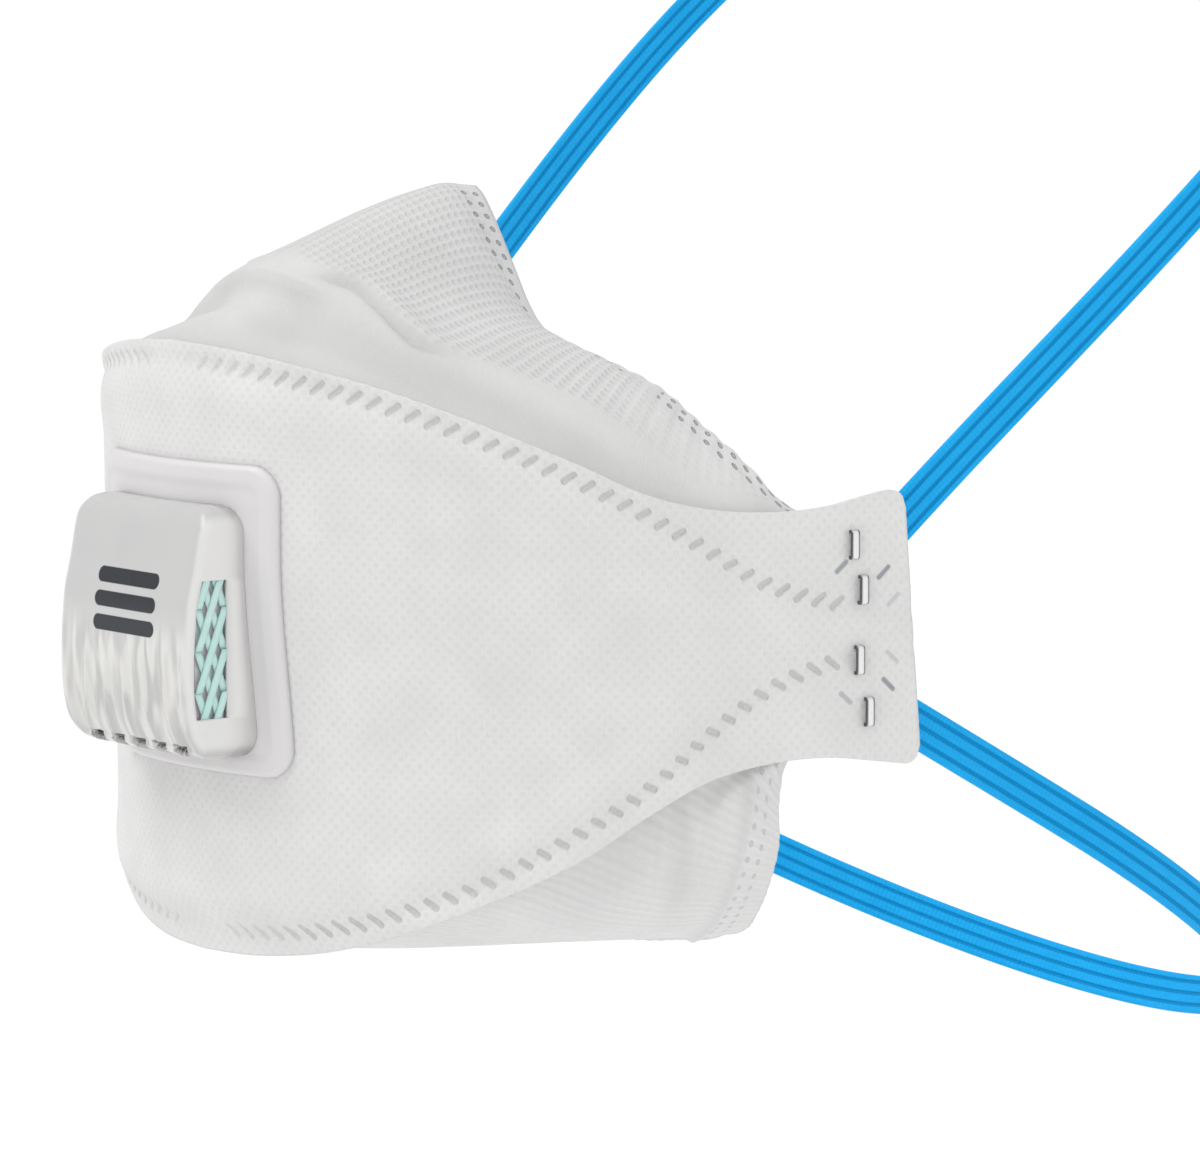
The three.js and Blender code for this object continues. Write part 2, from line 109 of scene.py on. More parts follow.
WELD_PITCH = 2.95            # oblique weld marks along both rims
WELD_LENGTH = 3.1
WELD_FROM, WELD_TO = 2 * WELD_PITCH, 38 * WELD_PITCH
WELD_FULL = 30.0             # the marks are faint nearer the middle than this
MARK_RADIUS, MARK_SOFT = 0.3, 0.26
DOT_PITCH = 2.4              # round weld marks along the face edges
DOT_CORE, DOT_RADIUS = 0.3, 0.58
BAR_HEIGHTS = (0.8, 4.2, 7.6)    # printed mark on the cover
BAR_HALF, BAR_CORE, BAR_RADIUS, BAR_FRONT = 6.6, 1.05, 1.2, -6.5
FLUTE_PITCH = 2.65           # the vents lie on every second flute
VENT_PITCH, VENT_REACH, VENT_HALF, VENT_TOP = 5.3, 12.8, 1.7, -15.6
VENT_FRONT, VENT_BACK = -6.4, -0.9


def listed(columns, values):
    Row = namedtuple("Row", columns)
    return [Row(*each) for each in values]


RIM = listed("turn up_edge up_weld low_weld low_edge", [
    (0, 41.3, 38.4, -43.8, -47.4),
    (10, 40.5, 37.9, -43.4, -46.9),
    (20, 38.6, 36.3, -41.9, -45.2),
    (30, 35.7, 33.5, -38.8, -41.8),
    (40, 31.3, 29.1, -33.9, -36.9),
    (50, 25.7, 23.3, -26.5, -30.5),
    (57, 21.2, 18.3, -20.2, -24.1),
    (63, 18.9, 13.3, -13.0, -19.6),
    (69, 18.1, 8.1, -7.2, -17.6),
    (75, 18.5, 5.3, -4.0, -17.2),
    (81, 20.2, 3.7, -2.6, -18.3),
    (87, 21.3, 3.0, -2.0, -19.7),
])

NOSE_EDGE = listed("turn x y z crown", [
    (0, 0, 54.8, 61.6, 1),
    (6, 3.5, 53.8, 60.1, 1),
    (12, 7.5, 53.2, 56.1, 1),
    (18, 11.5, 53.3, 50, 1),
    (24, 15, 53.4, 44.7, 1),
    (30, 18.5, 53.5, 41.5, 0.95),
    (38, 25, 54, 39.2, 0.85),
    (46, 33, 55, 37.2, 0.7),
    (54, 42, 56.3, 34.2, 0.55),
    (62, 50, 57.8, 29.2, 0.4),
    (69, 57, 59.8, 24.3, 0.2),
    (74.5, 63.2, 62.6, 17.4, 0),
])

CHIN_EDGE = listed("turn x y z belly out", [
    (0, 0, 74.8, -50.2, 0.8, 0),
    (15, 17, 74.6, -49.8, 0.7, 0),
    (27, 32, 73.6, -48.4, 0.9, 10),
    (36, 43, 71.2, -45.8, 2.4, 30),
    (44, 49.5, 68.2, -42.3, 3.6, 50),
    (52, 55, 65.9, -37.2, 3.4, 62),
    (60, 59.3, 64.2, -30.6, 2.2, 72),
    (67, 61.2, 62.6, -24, 1, 80),
    (74.5, 62.8, 62.6, -16.4, 0, 80),
])

CROWN = listed("along rise", [
    (0, 0), (0.04, 0.8), (0.09, 1.8), (0.18, 3.4), (0.3, 4.9),
    (0.44, 4.9), (0.66, 4.7), (0.84, 3.6), (0.93, 2), (1, 0),
])

# The nose panel's crease, where the smooth lower cloth meets the embossed upper part, and a
# soft valley below it.
NOSE_CREASE = listed("turn along", [
    (0, 0.36), (6, 0.33), (12, 0.34), (16.5, 0.36), (22, 0.33),
    (25, 0.30), (30, 0.27), (40, 0.33), (49, 0.38), (56, 0.33),
    (63, 0.24), (75, 0.2),
])
NOSE_VALLEY = listed("turn along", [(0, 0.2), (8.5, 0.15), (22, 0.16), (40, 0.12), (75, 0.1)])
CHIN_FOLD = listed("turn along", [(30, 0.8), (48, 0.62), (55.5, 0.4), (60, 0.2), (70, 0.1)])

COVER_FRONT = listed("z y", [
    (18.6, -4), (16, -5.4), (9, -6.9), (4, -8), (-6, -8.5),
    (-12.5, -7.8), (-16.5, -5.8), (-17.6, -4.2),
])

BANDS = listed("name y z slope start half widest reach", [
    ("upper_headband", 68.8, 6.1, 41.7, 66.1, 77, 105, 202),
    ("lower_headband", 68.8, -5.8, -28.95, 66.1, 67, 52, 141),
])

STAPLES = listed("turn z", [(78.2, 13), (79.2, 6.5), (78.7, -3.5), (79.7, -11)])

# Single weld marks on a tab: above (1) or below (-1), way along the weld line, distance outside
# it, and how dark the pressed cloth is.
TAB_MARKS = listed("side way off dark", [
    (1, 111.3, 5.3, 0.8), (1, 118.3, 5.2, 0.9), (1, 120.0, 1.4, 0.35),
    (-1, 112.6, 5.5, 0.5), (-1, 119.8, 4.8, 0.9), (-1, 120.6, 1.0, 0.35),
])


# ------------------------------------------------------------------ shape of the mask

def placed(point):
    return (point - NOSE_SEAT) * MM


def lerp(a, b, f):
    return a + (b - a) * f


def clamp(value, low=0.0, high=1.0):
    return min(max(value, low), high)


def smoothstep(value, low, high):
    f = clamp((value - low) / (high - low))
    return f * f * (3 - 2 * f)


def fade(value, low, high):
    return 1 - smoothstep(value, low, high)


def hill(distance, width):
    return math.exp(-((distance / width) ** 2))


def column(table, name, at):
    """Value of a table's column at a place in its first one, on a smooth curve through the rows."""
    keys = [row[0] for row in table]
    values = [getattr(row, name) for row in table]
    last = len(table) - 1
    rising = keys[last] > keys[0]
    i = 0
    while i < last - 1 and (keys[i + 1] < at if rising else keys[i + 1] > at):
        i += 1
    span = keys[i + 1] - keys[i]
    f = clamp((at - keys[i]) / span)

    def slope(j):
        a, b = max(j - 1, 0), min(j + 1, last)
        return (values[b] - values[a]) / (keys[b] - keys[a]) * span

    return (
        (2 * f**3 - 3 * f**2 + 1) * values[i] + (f**3 - 2 * f**2 + f) * slope(i)
        + (3 * f**2 - 2 * f**3) * values[i + 1] + (f**3 - f**2) * slope(i + 1)
    )


def lean_at(z):
    return LEAN * smoothstep(-z, -LEAN_TOP, -LEAN_FULL) + CURL * smoothstep(-z, -CURL_TOP, -CURL_FULL)


def front_point(turn, z, offset=0.0):
    """Point of the mask's front at a turn and a height, moved out by an offset."""
    a = math.radians(turn)
    out = Vector((DEPTH * math.sin(a), -HALF_WIDTH * math.cos(a))).normalized()
    tilt = (lean_at(z + 0.5) - lean_at(z - 0.5)) * math.cos(a) * out.y
    reach = offset * math.hypot(1, tilt)
    return Vector((
        HALF_WIDTH * math.sin(a) + reach * out.x,
        DEPTH * (1 - math.cos(a)) + reach * out.y + lean_at(z) * math.cos(a),
        z,
    ))


@lru_cache(maxsize=None)
def rim(name, turn):
    return column(RIM, name, abs(turn))


def ways_along(line, end, step=0.5):
    """Length along a line, from its middle, at every step of turn."""
    ways = [0.0]
    for i in range(int(end / step) + 1):
        ways.append(ways[-1] + (line((i + 1) * step) - line(i * step)).length)
    return lambda turn: lerp(
        ways[int(abs(turn) / step)], ways[int(abs(turn) / step) + 1], abs(turn) / step % 1
    )


upper_way = ways_along(lambda turn: front_point(turn, rim("up_weld", turn)), TAB_END + 1)
lower_way = ways_along(lambda turn: front_point(turn, rim("low_weld", turn)), TAB_END + 1)
middle_way = ways_along(lambda turn: front_point(turn, 0.0), TAB_END + 1)


def weld_place(turn, z):
    """Way along the nearer weld line, and distance outside it."""
    up, low = rim("up_weld", turn), rim("low_weld", turn)
    if z > (up + low) / 2:
        return upper_way(turn), z - up
    return lower_way(turn), low - z


def edge_point(table, turn):
    side = math.copysign(1.0, turn) if turn else 0.0
    return Vector((
        side * column(table, "x", abs(turn)),
        column(table, "y", abs(turn)),
        column(table, "z", abs(turn)),
    ))


@lru_cache(maxsize=None)
def nose_edge(turn):
    return edge_point(NOSE_EDGE, turn)


@lru_cache(maxsize=None)
def chin_edge(turn):
    return edge_point(CHIN_EDGE, turn)


@lru_cache(maxsize=None)
def nose_crown(turn):
    return column(NOSE_EDGE, "crown", abs(turn))


@lru_cache(maxsize=None)
def crown_rise(along):
    return column(CROWN, "rise", along)


@lru_cache(maxsize=None)
def chin_belly(turn):
    belly, out = (column(CHIN_EDGE, name, abs(turn)) for name in ("belly", "out"))
    return belly, math.radians(out)


nose_edge_way = ways_along(nose_edge, WEB_END)
chin_edge_way = ways_along(chin_edge, WEB_END)


def past_rim(v):
    return max(v - RIM_SHARE, 0.0) / (1 - RIM_SHARE)


def web_point(turn, v, start, end, edge):
    """A web runs up behind the rim, turns over at its cut edge and goes to the face edge."""
    behind = -(PANEL_WALL + WEB_GAP)
    if v <= RIM_SHARE:
        return front_point(turn, lerp(start, end, v / RIM_SHARE), behind)
    return front_point(turn, end, behind).lerp(edge, past_rim(v))


def nose_point(turn, v):
    point = web_point(turn, v, rim("up_weld", turn) - WEB_START, rim("up_edge", turn) - WEB_TUCK,
                      nose_edge(turn))
    point.z += nose_crown(turn) * crown_rise(past_rim(v))
    return point


def chin_point(turn, v):
    point = web_point(turn, v, rim("low_weld", turn) + WEB_START, rim("low_edge", turn) + WEB_TUCK,
                      chin_edge(turn))
    along = past_rim(v)
    swell = math.sin(math.pi * along**0.8) * smoothstep(along, 0, 0.3)
    belly, out = chin_belly(turn)
    point.x += math.copysign(belly * swell * math.sin(out), turn)
    point.z -= belly * swell * math.cos(out)
    return point


# ------------------------------------------------------------------ mesh helpers

def added(name, data):
    thing = bpy.data.objects.new(name, data)
    bpy.context.scene.collection.objects.link(thing)
    return thing


def piece_from(bm, name, material, smooth=True):
    mesh = bpy.data.meshes.new(name)
    for face in bm.faces:
        face.smooth = smooth
    bm.to_mesh(mesh)
    bm.free()
    mesh.materials.append(material)
    return added(name, mesh)


def solid_from(bm, name, material):
    bmesh.ops.recalc_face_normals(bm, faces=bm.faces)
    return piece_from(bm, name, material)


def sheet_grid(columns, rows, surface, maps):
    """A grid laid on surface(u, v), with UV maps that hold maps[name](u, v) in millimetres."""
    bm = bmesh.new()
    bmesh.ops.create_grid(bm, x_segments=columns, y_segments=rows, size=0.5)
    bm.verts.index_update()
    places = [(round(vertex.co.x + 0.5, 6), round(vertex.co.y + 0.5, 6)) for vertex in bm.verts]
    for name, mapped in maps.items():
        layer = bm.loops.layers.uv.new(name)
        values = [mapped(u, v) for u, v in places]
        for face in bm.faces:
            for loop in face.loops:
                loop[layer].uv = values[loop.vert.index]
    for vertex, (u, v) in zip(bm.verts, places):
        vertex.co = placed(surface(u, v))
    bm.normal_update()
    return bm


def closed_tube(bm, steps, sides, place, map_name=None, mapping=None):
    """A grid wrapped round place(f, q), where q goes once round the section, and capped."""
    made = bmesh.ops.create_grid(bm, x_segments=steps, y_segments=sides, size=0.5)["verts"]
    faces = {face for vertex in made for face in vertex.link_faces}
    if map_name:
        layer = bm.loops.layers.uv.new(map_name)
        for face in faces:
            for loop in face.loops:
                loop[layer].uv = mapping(loop.vert.co.x + 0.5, loop.vert.co.y + 0.5)
    for vertex in made:
        vertex.co = placed(place(vertex.co.x + 0.5, vertex.co.y + 0.5))
    bmesh.ops.remove_doubles(bm, verts=made, dist=1e-6)
    left = [v for v in made if v.is_valid]
    ends = [e for e in {e for v in left for e in v.link_edges} if e.is_boundary]
    bmesh.ops.holes_fill(bm, edges=ends, sides=0)


def outline_distance(x, z, half, low, high, corner):
    """Distance inside a rectangle with round corners: nothing on its outline, more inside."""
    middle, tall = (low + high) / 2, (high - low) / 2
    dx = abs(x) - (half - corner)
    dz = abs(z - middle) - (tall - corner)
    outside = math.hypot(max(dx, 0.0), max(dz, 0.0))
    return corner - outside - min(max(dx, dz), 0.0)


def corner_half(z, half, low, high, corner):
    """Half width at a height of a rectangle with round corners."""
    into = corner - min(z - low, high - z, corner)
    return half - corner + math.sqrt(max(corner**2 - into**2, 0.0))


def round_hole(bm, x, z, radius):
    """Opens a round hole, seen along Y, and draws its edge onto the circle."""
    centre = placed(Vector((x, 0.0, z)))
    size = radius * MM

    def away(co):
        return math.hypot(co.x - centre.x, co.z - centre.z)

    near = [f for f in bm.faces if all(away(v.co) < size for v in f.verts) and f.calc_center_median().y < 0]
    bmesh.ops.delete(bm, geom=near, context="FACES")
    for vertex in bm.verts:
        if vertex.is_boundary and away(vertex.co) < size * 1.01 and vertex.co.y < 0:
            out = Vector((vertex.co.x - centre.x, 0.0, vertex.co.z - centre.z)).normalized()
            vertex.co.x = centre.x + out.x * size
            vertex.co.z = centre.z + out.z * size


def add_wall(piece, thickness, group=None):
    wall = piece.modifiers.new("wall", "SOLIDIFY")
    wall.thickness = thickness * MM
    wall.offset = -1.0
    wall.use_even_offset = False
    wall.use_rim = True
    if group:
        wall.vertex_group = group


# ------------------------------------------------------------------ material helpers

class Finish:
    """A Principled material, and the nodes that its pattern is drawn with."""

    def __init__(self, name, **sockets):
        self.material = bpy.data.materials.new(name)
        self.material.use_nodes = True
        self.tree = self.material.node_tree
        self.shader = next(n for n in self.tree.nodes if n.type == "BSDF_PRINCIPLED")
        for socket, value in sockets.items():
            self.shader.inputs[socket.replace("_", " ")].default_value = value

    def add(self, kind, inputs, output=0, **settings):
        node = self.tree.nodes.new("ShaderNode" + kind)
        for setting, value in settings.items():
            setattr(node, setting, value)
        for socket, value in inputs.items():
            self.put(node.inputs[socket], value)
        return node.outputs[output]

    def put(self, socket, value):
        if isinstance(value, bpy.types.NodeSocket):
            self.tree.links.new(value, socket)
        else:
            socket.default_value = value

    def math(self, operation, a, b=0.0):
        return self.add("Math", {0: a, 1: b}, operation=operation)

    def times(self, a, b):
        return self.math("MULTIPLY", a, b)

    def less(self, a, b):
        return self.math("SUBTRACT", a, b)

    def length(self, a, b):
        return self.math("SQRT", self.math("ADD", self.times(a, a), self.times(b, b)))

    def swing(self, pattern, much):
        """A pattern of nothing to one, taken to either side of its middle."""
        return self.times(self.less(pattern, 0.5), much)

    def ramp(self, value, low, high, start=0.0, end=1.0):
        return self.add(
            "MapRange",
            {"Value": value, "From Min": low, "From Max": high, "To Min": start, "To Max": end},
            interpolation_type="SMOOTHSTEP",
        )

    def parts(self, vector):
        split = self.tree.nodes.new("ShaderNodeSeparateXYZ")
        self.put(split.inputs[0], vector)
        return vector, *split.outputs

    def uv(self, name):
        return self.parts(self.add("UVMap", {}, uv_map=name))[:3]

    def spot(self):
        return self.add("TexCoord", {}, output="Object")

    def place(self):
        return self.parts(self.spot())

    def turned(self, vector, angle, scale):
        return self.add("Mapping", {
            "Vector": vector, "Rotation": (0.0, 0.0, math.radians(angle)), "Scale": scale,
        })

    def noise(self, vector, scale, detail=3.0, roughness=0.5):
        return self.add("TexNoise", {
            "Vector": vector, "Scale": scale, "Detail": detail, "Roughness": roughness,
        }, output="Fac")

    def lattice(self, vector, low, high):
        """One at the points of a square lattice, none between them."""
        away = self.add("TexVoronoi", {"Vector": vector, "Scale": 1.0, "Randomness": 0.0},
                        output="Distance", voronoi_dimensions="2D", feature="F1")
        return self.ramp(away, low, high, 1.0, 0.0)

    def mix(self, factor, a, b):
        node = self.tree.nodes.new("ShaderNodeMix")
        node.data_type = "RGBA"
        self.put(node.inputs["Factor"], factor)
        self.put(node.inputs[6], a)
        self.put(node.inputs[7], b)
        return node.outputs[2]

    def total(self, *values):
        sum_ = values[0]
        for value in values[1:]:
            sum_ = self.math("ADD", sum_, value)
        return sum_

    def colour(self, value):
        self.put(self.shader.inputs["Base Color"], value)

    def roughness(self, value):
        self.put(self.shader.inputs["Roughness"], value)

    def bump(self, height, depth):
        """A relief of height times depth, in millimetres."""
        relief = {"Height": height, "Distance": depth * MM, "Strength": 1.0}
        normal = self.add("Bump", relief, output="Normal")
        self.put(self.shader.inputs["Normal"], normal)


def grey(value, warmth=0.0):
    return (value + warmth, value, value - warmth, 1.0)


def stroke(finish, way, off, half, round_, soft):
    """A mark with round ends, laid at 45 degrees over the middle of (way, off)."""
    along = finish.times(finish.math("ADD", way, off), math.sqrt(0.5))
    across = finish.times(finish.less(way, off), math.sqrt(0.5))
    past = finish.math("MAXIMUM", finish.less(finish.math("ABSOLUTE", along), half), 0.0)
    away = finish.length(past, across)
    return finish.ramp(away, round_ - soft, round_ + soft, 1.0, 0.0)


def between(finish, value, low, high):
    above = finish.math("GREATER_THAN", value, low)
    return finish.times(above, finish.math("LESS_THAN", value, high))


def repeated(finish, value, pitch):
    """Distance from the nearest of the places that lie a pitch apart."""
    share = finish.math("FRACT", finish.math("DIVIDE", value, pitch))
    return finish.swing(share, pitch)


# ------------------------------------------------------------------ finishes

def cover_cloth():
    """White spunbonded cloth with a fine slanting bond pattern and the rims' weld marks."""
    f = Finish("white_cover_cloth", Roughness=0.85, Sheen_Weight=0.08, Sheen_Roughness=0.5)
    flat, _, _ = f.uv("Cloth")
    _, way, off = f.uv("Weld")
    _, _, _, z = f.place()
    marks = f.times(
        stroke(f, repeated(f, way, WELD_PITCH), off, WELD_LENGTH / 2 - 0.35, MARK_RADIUS, MARK_SOFT),
        between(f, way, WELD_FROM, WELD_TO),
    )
    marks = f.times(marks, f.ramp(way, WELD_FROM, WELD_FULL, 0.4, 1.0))
    dark = 0.0
    for mark in TAB_MARKS:
        one = stroke(f, f.less(way, mark.way), f.less(off, mark.off), 1.15, 0.3, 0.18)
        there = f.math("GREATER_THAN" if mark.side > 0 else "LESS_THAN", z, (0.5 - NOSE_SEAT.z) * MM)
        dark = f.math("MAXIMUM", dark, f.times(f.times(one, there), mark.dark))
    bonds = f.lattice(f.turned(flat, 45, (1 / 1.3, 1 / 1.3, 1)), 0.18, 0.36)
    fibres = f.noise(f.turned(flat, 20, (3.2, 0.8, 1)), 1.0, 4.0, 0.6)
    cross = f.noise(f.turned(flat, -50, (3.0, 0.7, 1)), 1.0, 4.0, 0.6)
    cloud = f.noise(flat, 0.09, 2.0, 0.5)
    tone = f.total(
        0.5, f.swing(cloud, 0.9),
        f.swing(fibres, 0.7),
        f.swing(cross, 0.5),
        f.times(bonds, -0.28),
    )
    cloth = f.mix(f.ramp(tone, 0.0, 1.0), grey(0.70, 0.004), grey(0.79, 0.004))
    # The weld marks are painted grey: partly the pressed cloth's own colour, partly painted shade in the
    # pressed dashes.
    pressed = f.mix(f.times(marks, 0.85), cloth, grey(0.56, 0.002))
    f.colour(f.mix(dark, pressed, (0.27, 0.29, 0.33, 1.0)))
    f.roughness(f.ramp(marks, 0.0, 1.0, 0.88, 0.6))
    height = f.total(
        f.times(marks, -0.75), f.times(dark, -0.6), f.times(bonds, -0.1),
        f.times(fibres, 0.16), f.times(cross, 0.12),
    )
    f.bump(height, 0.35)
    return f.material


def dot_rows(f, way, off, rows):
    """Round weld marks: each row is its distance from the edge and the ways it runs between."""
    dots = 0.0
    for distance, start, end in rows:
        x = repeated(f, way, DOT_PITCH)
        y = f.less(off, distance)
        away = f.length(x, y)
        row = f.times(f.ramp(away, DOT_CORE, DOT_RADIUS, 1.0, 0.0), between(f, way, start, end))
        dots = f.math("MAXIMUM", dots, row)
    return dots


def web_finish(name, cells, dot_lines, cell_depth, dot_tone, dot_depth, ribs, tones):
    """White web cloth, embossed in small cells where the cloth is marked so."""
    f = Finish(name, Roughness=0.85, Sheen_Weight=0.08, Sheen_Roughness=0.5)
    flat, _, _ = f.uv("Cloth")
    _, way, off = f.uv("Edge")
    embossed = f.add("Attribute", {}, output="Fac", attribute_name="embossed")
    dots = dot_rows(f, way, off, dot_lines)
    cell = f.lattice(f.turned(flat, 0, (1 / cells[0], 1 / cells[1], 1)), 0.12, 0.5)
    cell = f.times(cell, embossed)
    rib = f.add("TexWave", {"Vector": flat, "Scale": 0.24, "Distortion": 0.5},
                output="Fac", bands_direction="X")
    rib = f.times(rib, ribs)
    fibres = f.noise(f.turned(flat, 70, (3.0, 0.7, 1)), 1.0, 4.0, 0.6)
    cloud = f.noise(flat, 0.08, 2.0, 0.5)
    tone = f.total(
        0.5, f.swing(cloud, 0.9),
        f.swing(fibres, 0.6), f.times(cell, -0.45),
        f.times(rib, -0.3),
    )
    low, high = tones
    shade = grey(low * 0.74, 0.003)
    cloth = f.mix(f.ramp(tone, 0.0, 1.0), grey(low, 0.004), grey(high, 0.004))
    shaded = f.add("Attribute", {}, output="Fac", attribute_name="shaded")
    cloth = f.mix(f.times(shaded, 0.5), cloth, shade)
    f.colour(f.mix(f.times(dots, 0.9), cloth, grey(dot_tone)))
    f.roughness(f.ramp(dots, 0.0, 1.0, 0.88, 0.55))
    height = f.total(
        f.times(dots, -dot_depth), f.times(cell, -cell_depth), f.times(fibres, 0.15),
        f.times(rib, -0.35),
    )
    f.bump(height, 0.4)
    return f.material


def nose_cloth():
    return web_finish(
        "embossed_nose_cloth", (1.7, 1.3),
        [(1.6, 2.0, 19.0), (3.9, 2.0, 19.0), (2.7, 19.0, 27.0), (4.0, 27.0, 47.0), (1.8, 54.0, 79.0),
         (3.9, 54.0, 79.0)],
        # The nose tones, the last pair, are lower than the chin cloth's: painted shade over the whole nose
        # panel.
        0.42, 0.36, 0.9, 0.0, (0.61, 0.71),
    )


def chin_cloth():
    return web_finish(
        "ribbed_chin_cloth", (1.2, 1.7),
        [(4.0, 0.0, 90.0), (6.5, 0.0, 90.0)],
        0.12, 0.56, 0.25, 0.6, (0.67, 0.77),
    )


def base_plastic():
    f = Finish("white_valve_plastic", Roughness=0.42, Coat_Weight=0.15, Coat_Roughness=0.3)
    vector = f.spot()
    grain = f.noise(vector, 2400.0, 2.0)
    cloud = f.noise(vector, 60.0, 2.0)
    f.colour(f.mix(cloud, (0.70, 0.68, 0.69, 1.0), (0.74, 0.725, 0.73, 1.0)))
    f.roughness(f.ramp(grain, 0.3, 0.7, 0.36, 0.5))
    f.bump(grain, 0.02)
    return f.material


def cover_plastic():
    """Clear moulded plastic, a little cloudy white, with a plain printed mark of three bars, painted light
    on its side walls and painted refraction streaks low on its front.
    """
    f = Finish("clear_cover_plastic", IOR=1.49, Transmission_Weight=0.14, Coat_Weight=0.25,
               Coat_Roughness=0.08)
    vector, x, y, z = f.place()
    height = f.math("ADD", z, NOSE_SEAT.z * MM)
    bars = 0.0
    for middle in BAR_HEIGHTS:
        dx = f.math("MAXIMUM", f.less(f.math("ABSOLUTE", x), BAR_HALF * MM), 0.0)
        dz = f.less(height, middle * MM)
        away = f.length(dx, dz)
        bars = f.math("MAXIMUM", bars, f.ramp(away, BAR_CORE * MM, BAR_RADIUS * MM, 1.0, 0.0))
    front = f.math("LESS_THAN", y, (BAR_FRONT - NOSE_SEAT.y) * MM)
    printed = f.times(bars, front)
    cloud = f.noise(vector, 90.0, 2.0)
    milky_and_side_light = f.mix(cloud, (0.62, 0.615, 0.62, 1.0), (0.70, 0.70, 0.69, 1.0))
    # Painted light: the side walls are painted lighter than the front, for the light that shines through
    # them.
    side = f.ramp(f.math("ABSOLUTE", x), (COVER_HALF - 1.5) * MM, (COVER_HALF - 0.2) * MM)
    milky_and_side_light = f.mix(side, milky_and_side_light, (0.88, 0.875, 0.865, 1.0))
    # Painted refraction: light and dark streaks fanning down the clear lower front stand in for light bent
    # through the plastic.
    stretched = f.turned(vector, 0, (420.0, 1.0, 80.0))
    streak = f.add("TexNoise", {"Vector": stretched, "Scale": 1.0, "Detail": 1.0, "Distortion": 0.8},
                   output="Fac")
    tint = f.mix(f.noise(vector, 160.0, 1.0), (0.93, 0.90, 0.88, 1.0), (0.86, 0.90, 0.84, 1.0))
    low = f.times(f.ramp(height, -0.002, 0.003, 1.0, 0.0), f.less(1.0, side))
    painted_refraction_streaks = f.mix(f.ramp(streak, 0.36, 0.62), (0.60, 0.595, 0.585, 1.0), tint)
    f.colour(f.mix(printed, f.mix(f.times(low, 0.7), milky_and_side_light, painted_refraction_streaks), (0.005, 0.009, 0.016, 1.0)))
    grain = f.noise(vector, 1400.0, 2.0)
    f.roughness(f.total(f.ramp(printed, 0.0, 1.0, 0.1, 0.42), f.times(grain, 0.06)))
    f.bump(f.noise(vector, 500.0, 2.0), 0.03)
    return f.material


def rib_plastic():
    f = Finish("aqua_tinted_ribs", Roughness=0.12, IOR=1.49, Transmission_Weight=0.2, Coat_Weight=0.4)
    vector = f.spot()
    f.colour(f.mix(f.noise(vector, 260.0, 2.0), (0.56, 0.92, 0.85, 1.0), (0.76, 0.97, 0.94, 1.0)))
    return f.material


def liner_plastic():
    f = Finish("pink_grey_liner", Roughness=0.4)
    vector = f.spot()
    tint = f.ramp(f.noise(vector, 420.0, 2.0), 0.4, 0.6)
    f.colour(f.mix(tint, (0.88, 0.74, 0.81, 1.0), (0.74, 0.90, 0.89, 1.0)))
    return f.material


def flap_rubber():
    f = Finish("aqua_flap_rubber", Roughness=0.45, Sheen_Weight=0.1)
    vector = f.spot()
    grain = f.noise(vector, 900.0, 2.0)
    f.colour(f.mix(f.noise(vector, 120.0, 2.0), (0.35, 0.66, 0.62, 1.0), (0.45, 0.76, 0.72, 1.0)))
    f.roughness(f.ramp(grain, 0.3, 0.7, 0.4, 0.52))
    f.bump(grain, 0.02)
    return f.material


def band_elastic():
    """Ribbed elastic webbing: fine knit across the ribs, with painted shade in the grooves."""
    f = Finish("blue_ribbed_elastic", Roughness=0.75, Specular_IOR_Level=0.15)
    vector, _, across = f.uv("Band")
    groove = 0.0
    for middle in BAND_GROOVES:
        away = f.math("ABSOLUTE", f.less(across, middle))
        groove = f.math("MAXIMUM", groove, f.ramp(away, 0.1, 0.42, 1.0, 0.0))
    knit = f.add("TexWave", {"Vector": f.turned(vector, 0, (1, 0.35, 1)), "Scale": 0.42, "Distortion": 0.6,
                             "Detail": 1.0, "Detail Scale": 2.0}, output="Fac", bands_direction="X")
    threads = f.noise(f.turned(vector, 0, (0.35, 6.0, 1)), 1.0, 3.0)
    worn = f.noise(vector, 0.12, 2.0)
    tone = f.total(
        0.35, f.swing(threads, 0.9),
        f.times(knit, 0.14), f.swing(worn, 0.4),
    )
    blue = f.mix(f.ramp(tone, 0.0, 1.0), (0.004, 0.37, 0.82, 1.0), (0.02, 0.47, 0.95, 1.0))
    # Painted shade: the grooves between the ribs are coloured a darker blue.
    f.colour(f.mix(f.times(groove, 0.8), blue, (0.002, 0.24, 0.56, 1.0)))
    f.roughness(f.ramp(groove, 0.0, 1.0, 0.7, 0.85))
    height = f.total(f.times(groove, -0.8), f.times(knit, 0.3), f.times(threads, 0.3))
    f.bump(height, 0.22)
    return f.material


def staple_wire():
    f = Finish("bright_staple_wire", Metallic=1.0, Roughness=0.25)
    vector = f.spot()
    _, _, across = f.uv("Wire")
    drawn = f.noise(f.turned(vector, 0, (1.0, 1.0, 0.12)), 6000.0, 2.0)
    bright = f.mix(drawn, (0.70, 0.70, 0.71, 1.0), (0.92, 0.92, 0.93, 1.0))
    # Painted reflection: the wire is painted dark along both sides of its section, for the dark reflections
    # along its edges.
    f.colour(f.mix(f.ramp(f.math("ABSOLUTE", across), 0.42, 0.72), bright, (0.16, 0.16, 0.17, 1.0)))
    f.roughness(f.ramp(drawn, 0.3, 0.7, 0.2, 0.38))
    f.bump(drawn, 0.01)
    return f.material


def floor_paint():
    f = Finish("pale_floor", Roughness=0.95)
    vector = f.spot()
    f.colour(f.mix(f.noise(vector, 3.0, 2.0), grey(0.95), grey(0.965)))
    return f.material


# ------------------------------------------------------------------ cloth panels

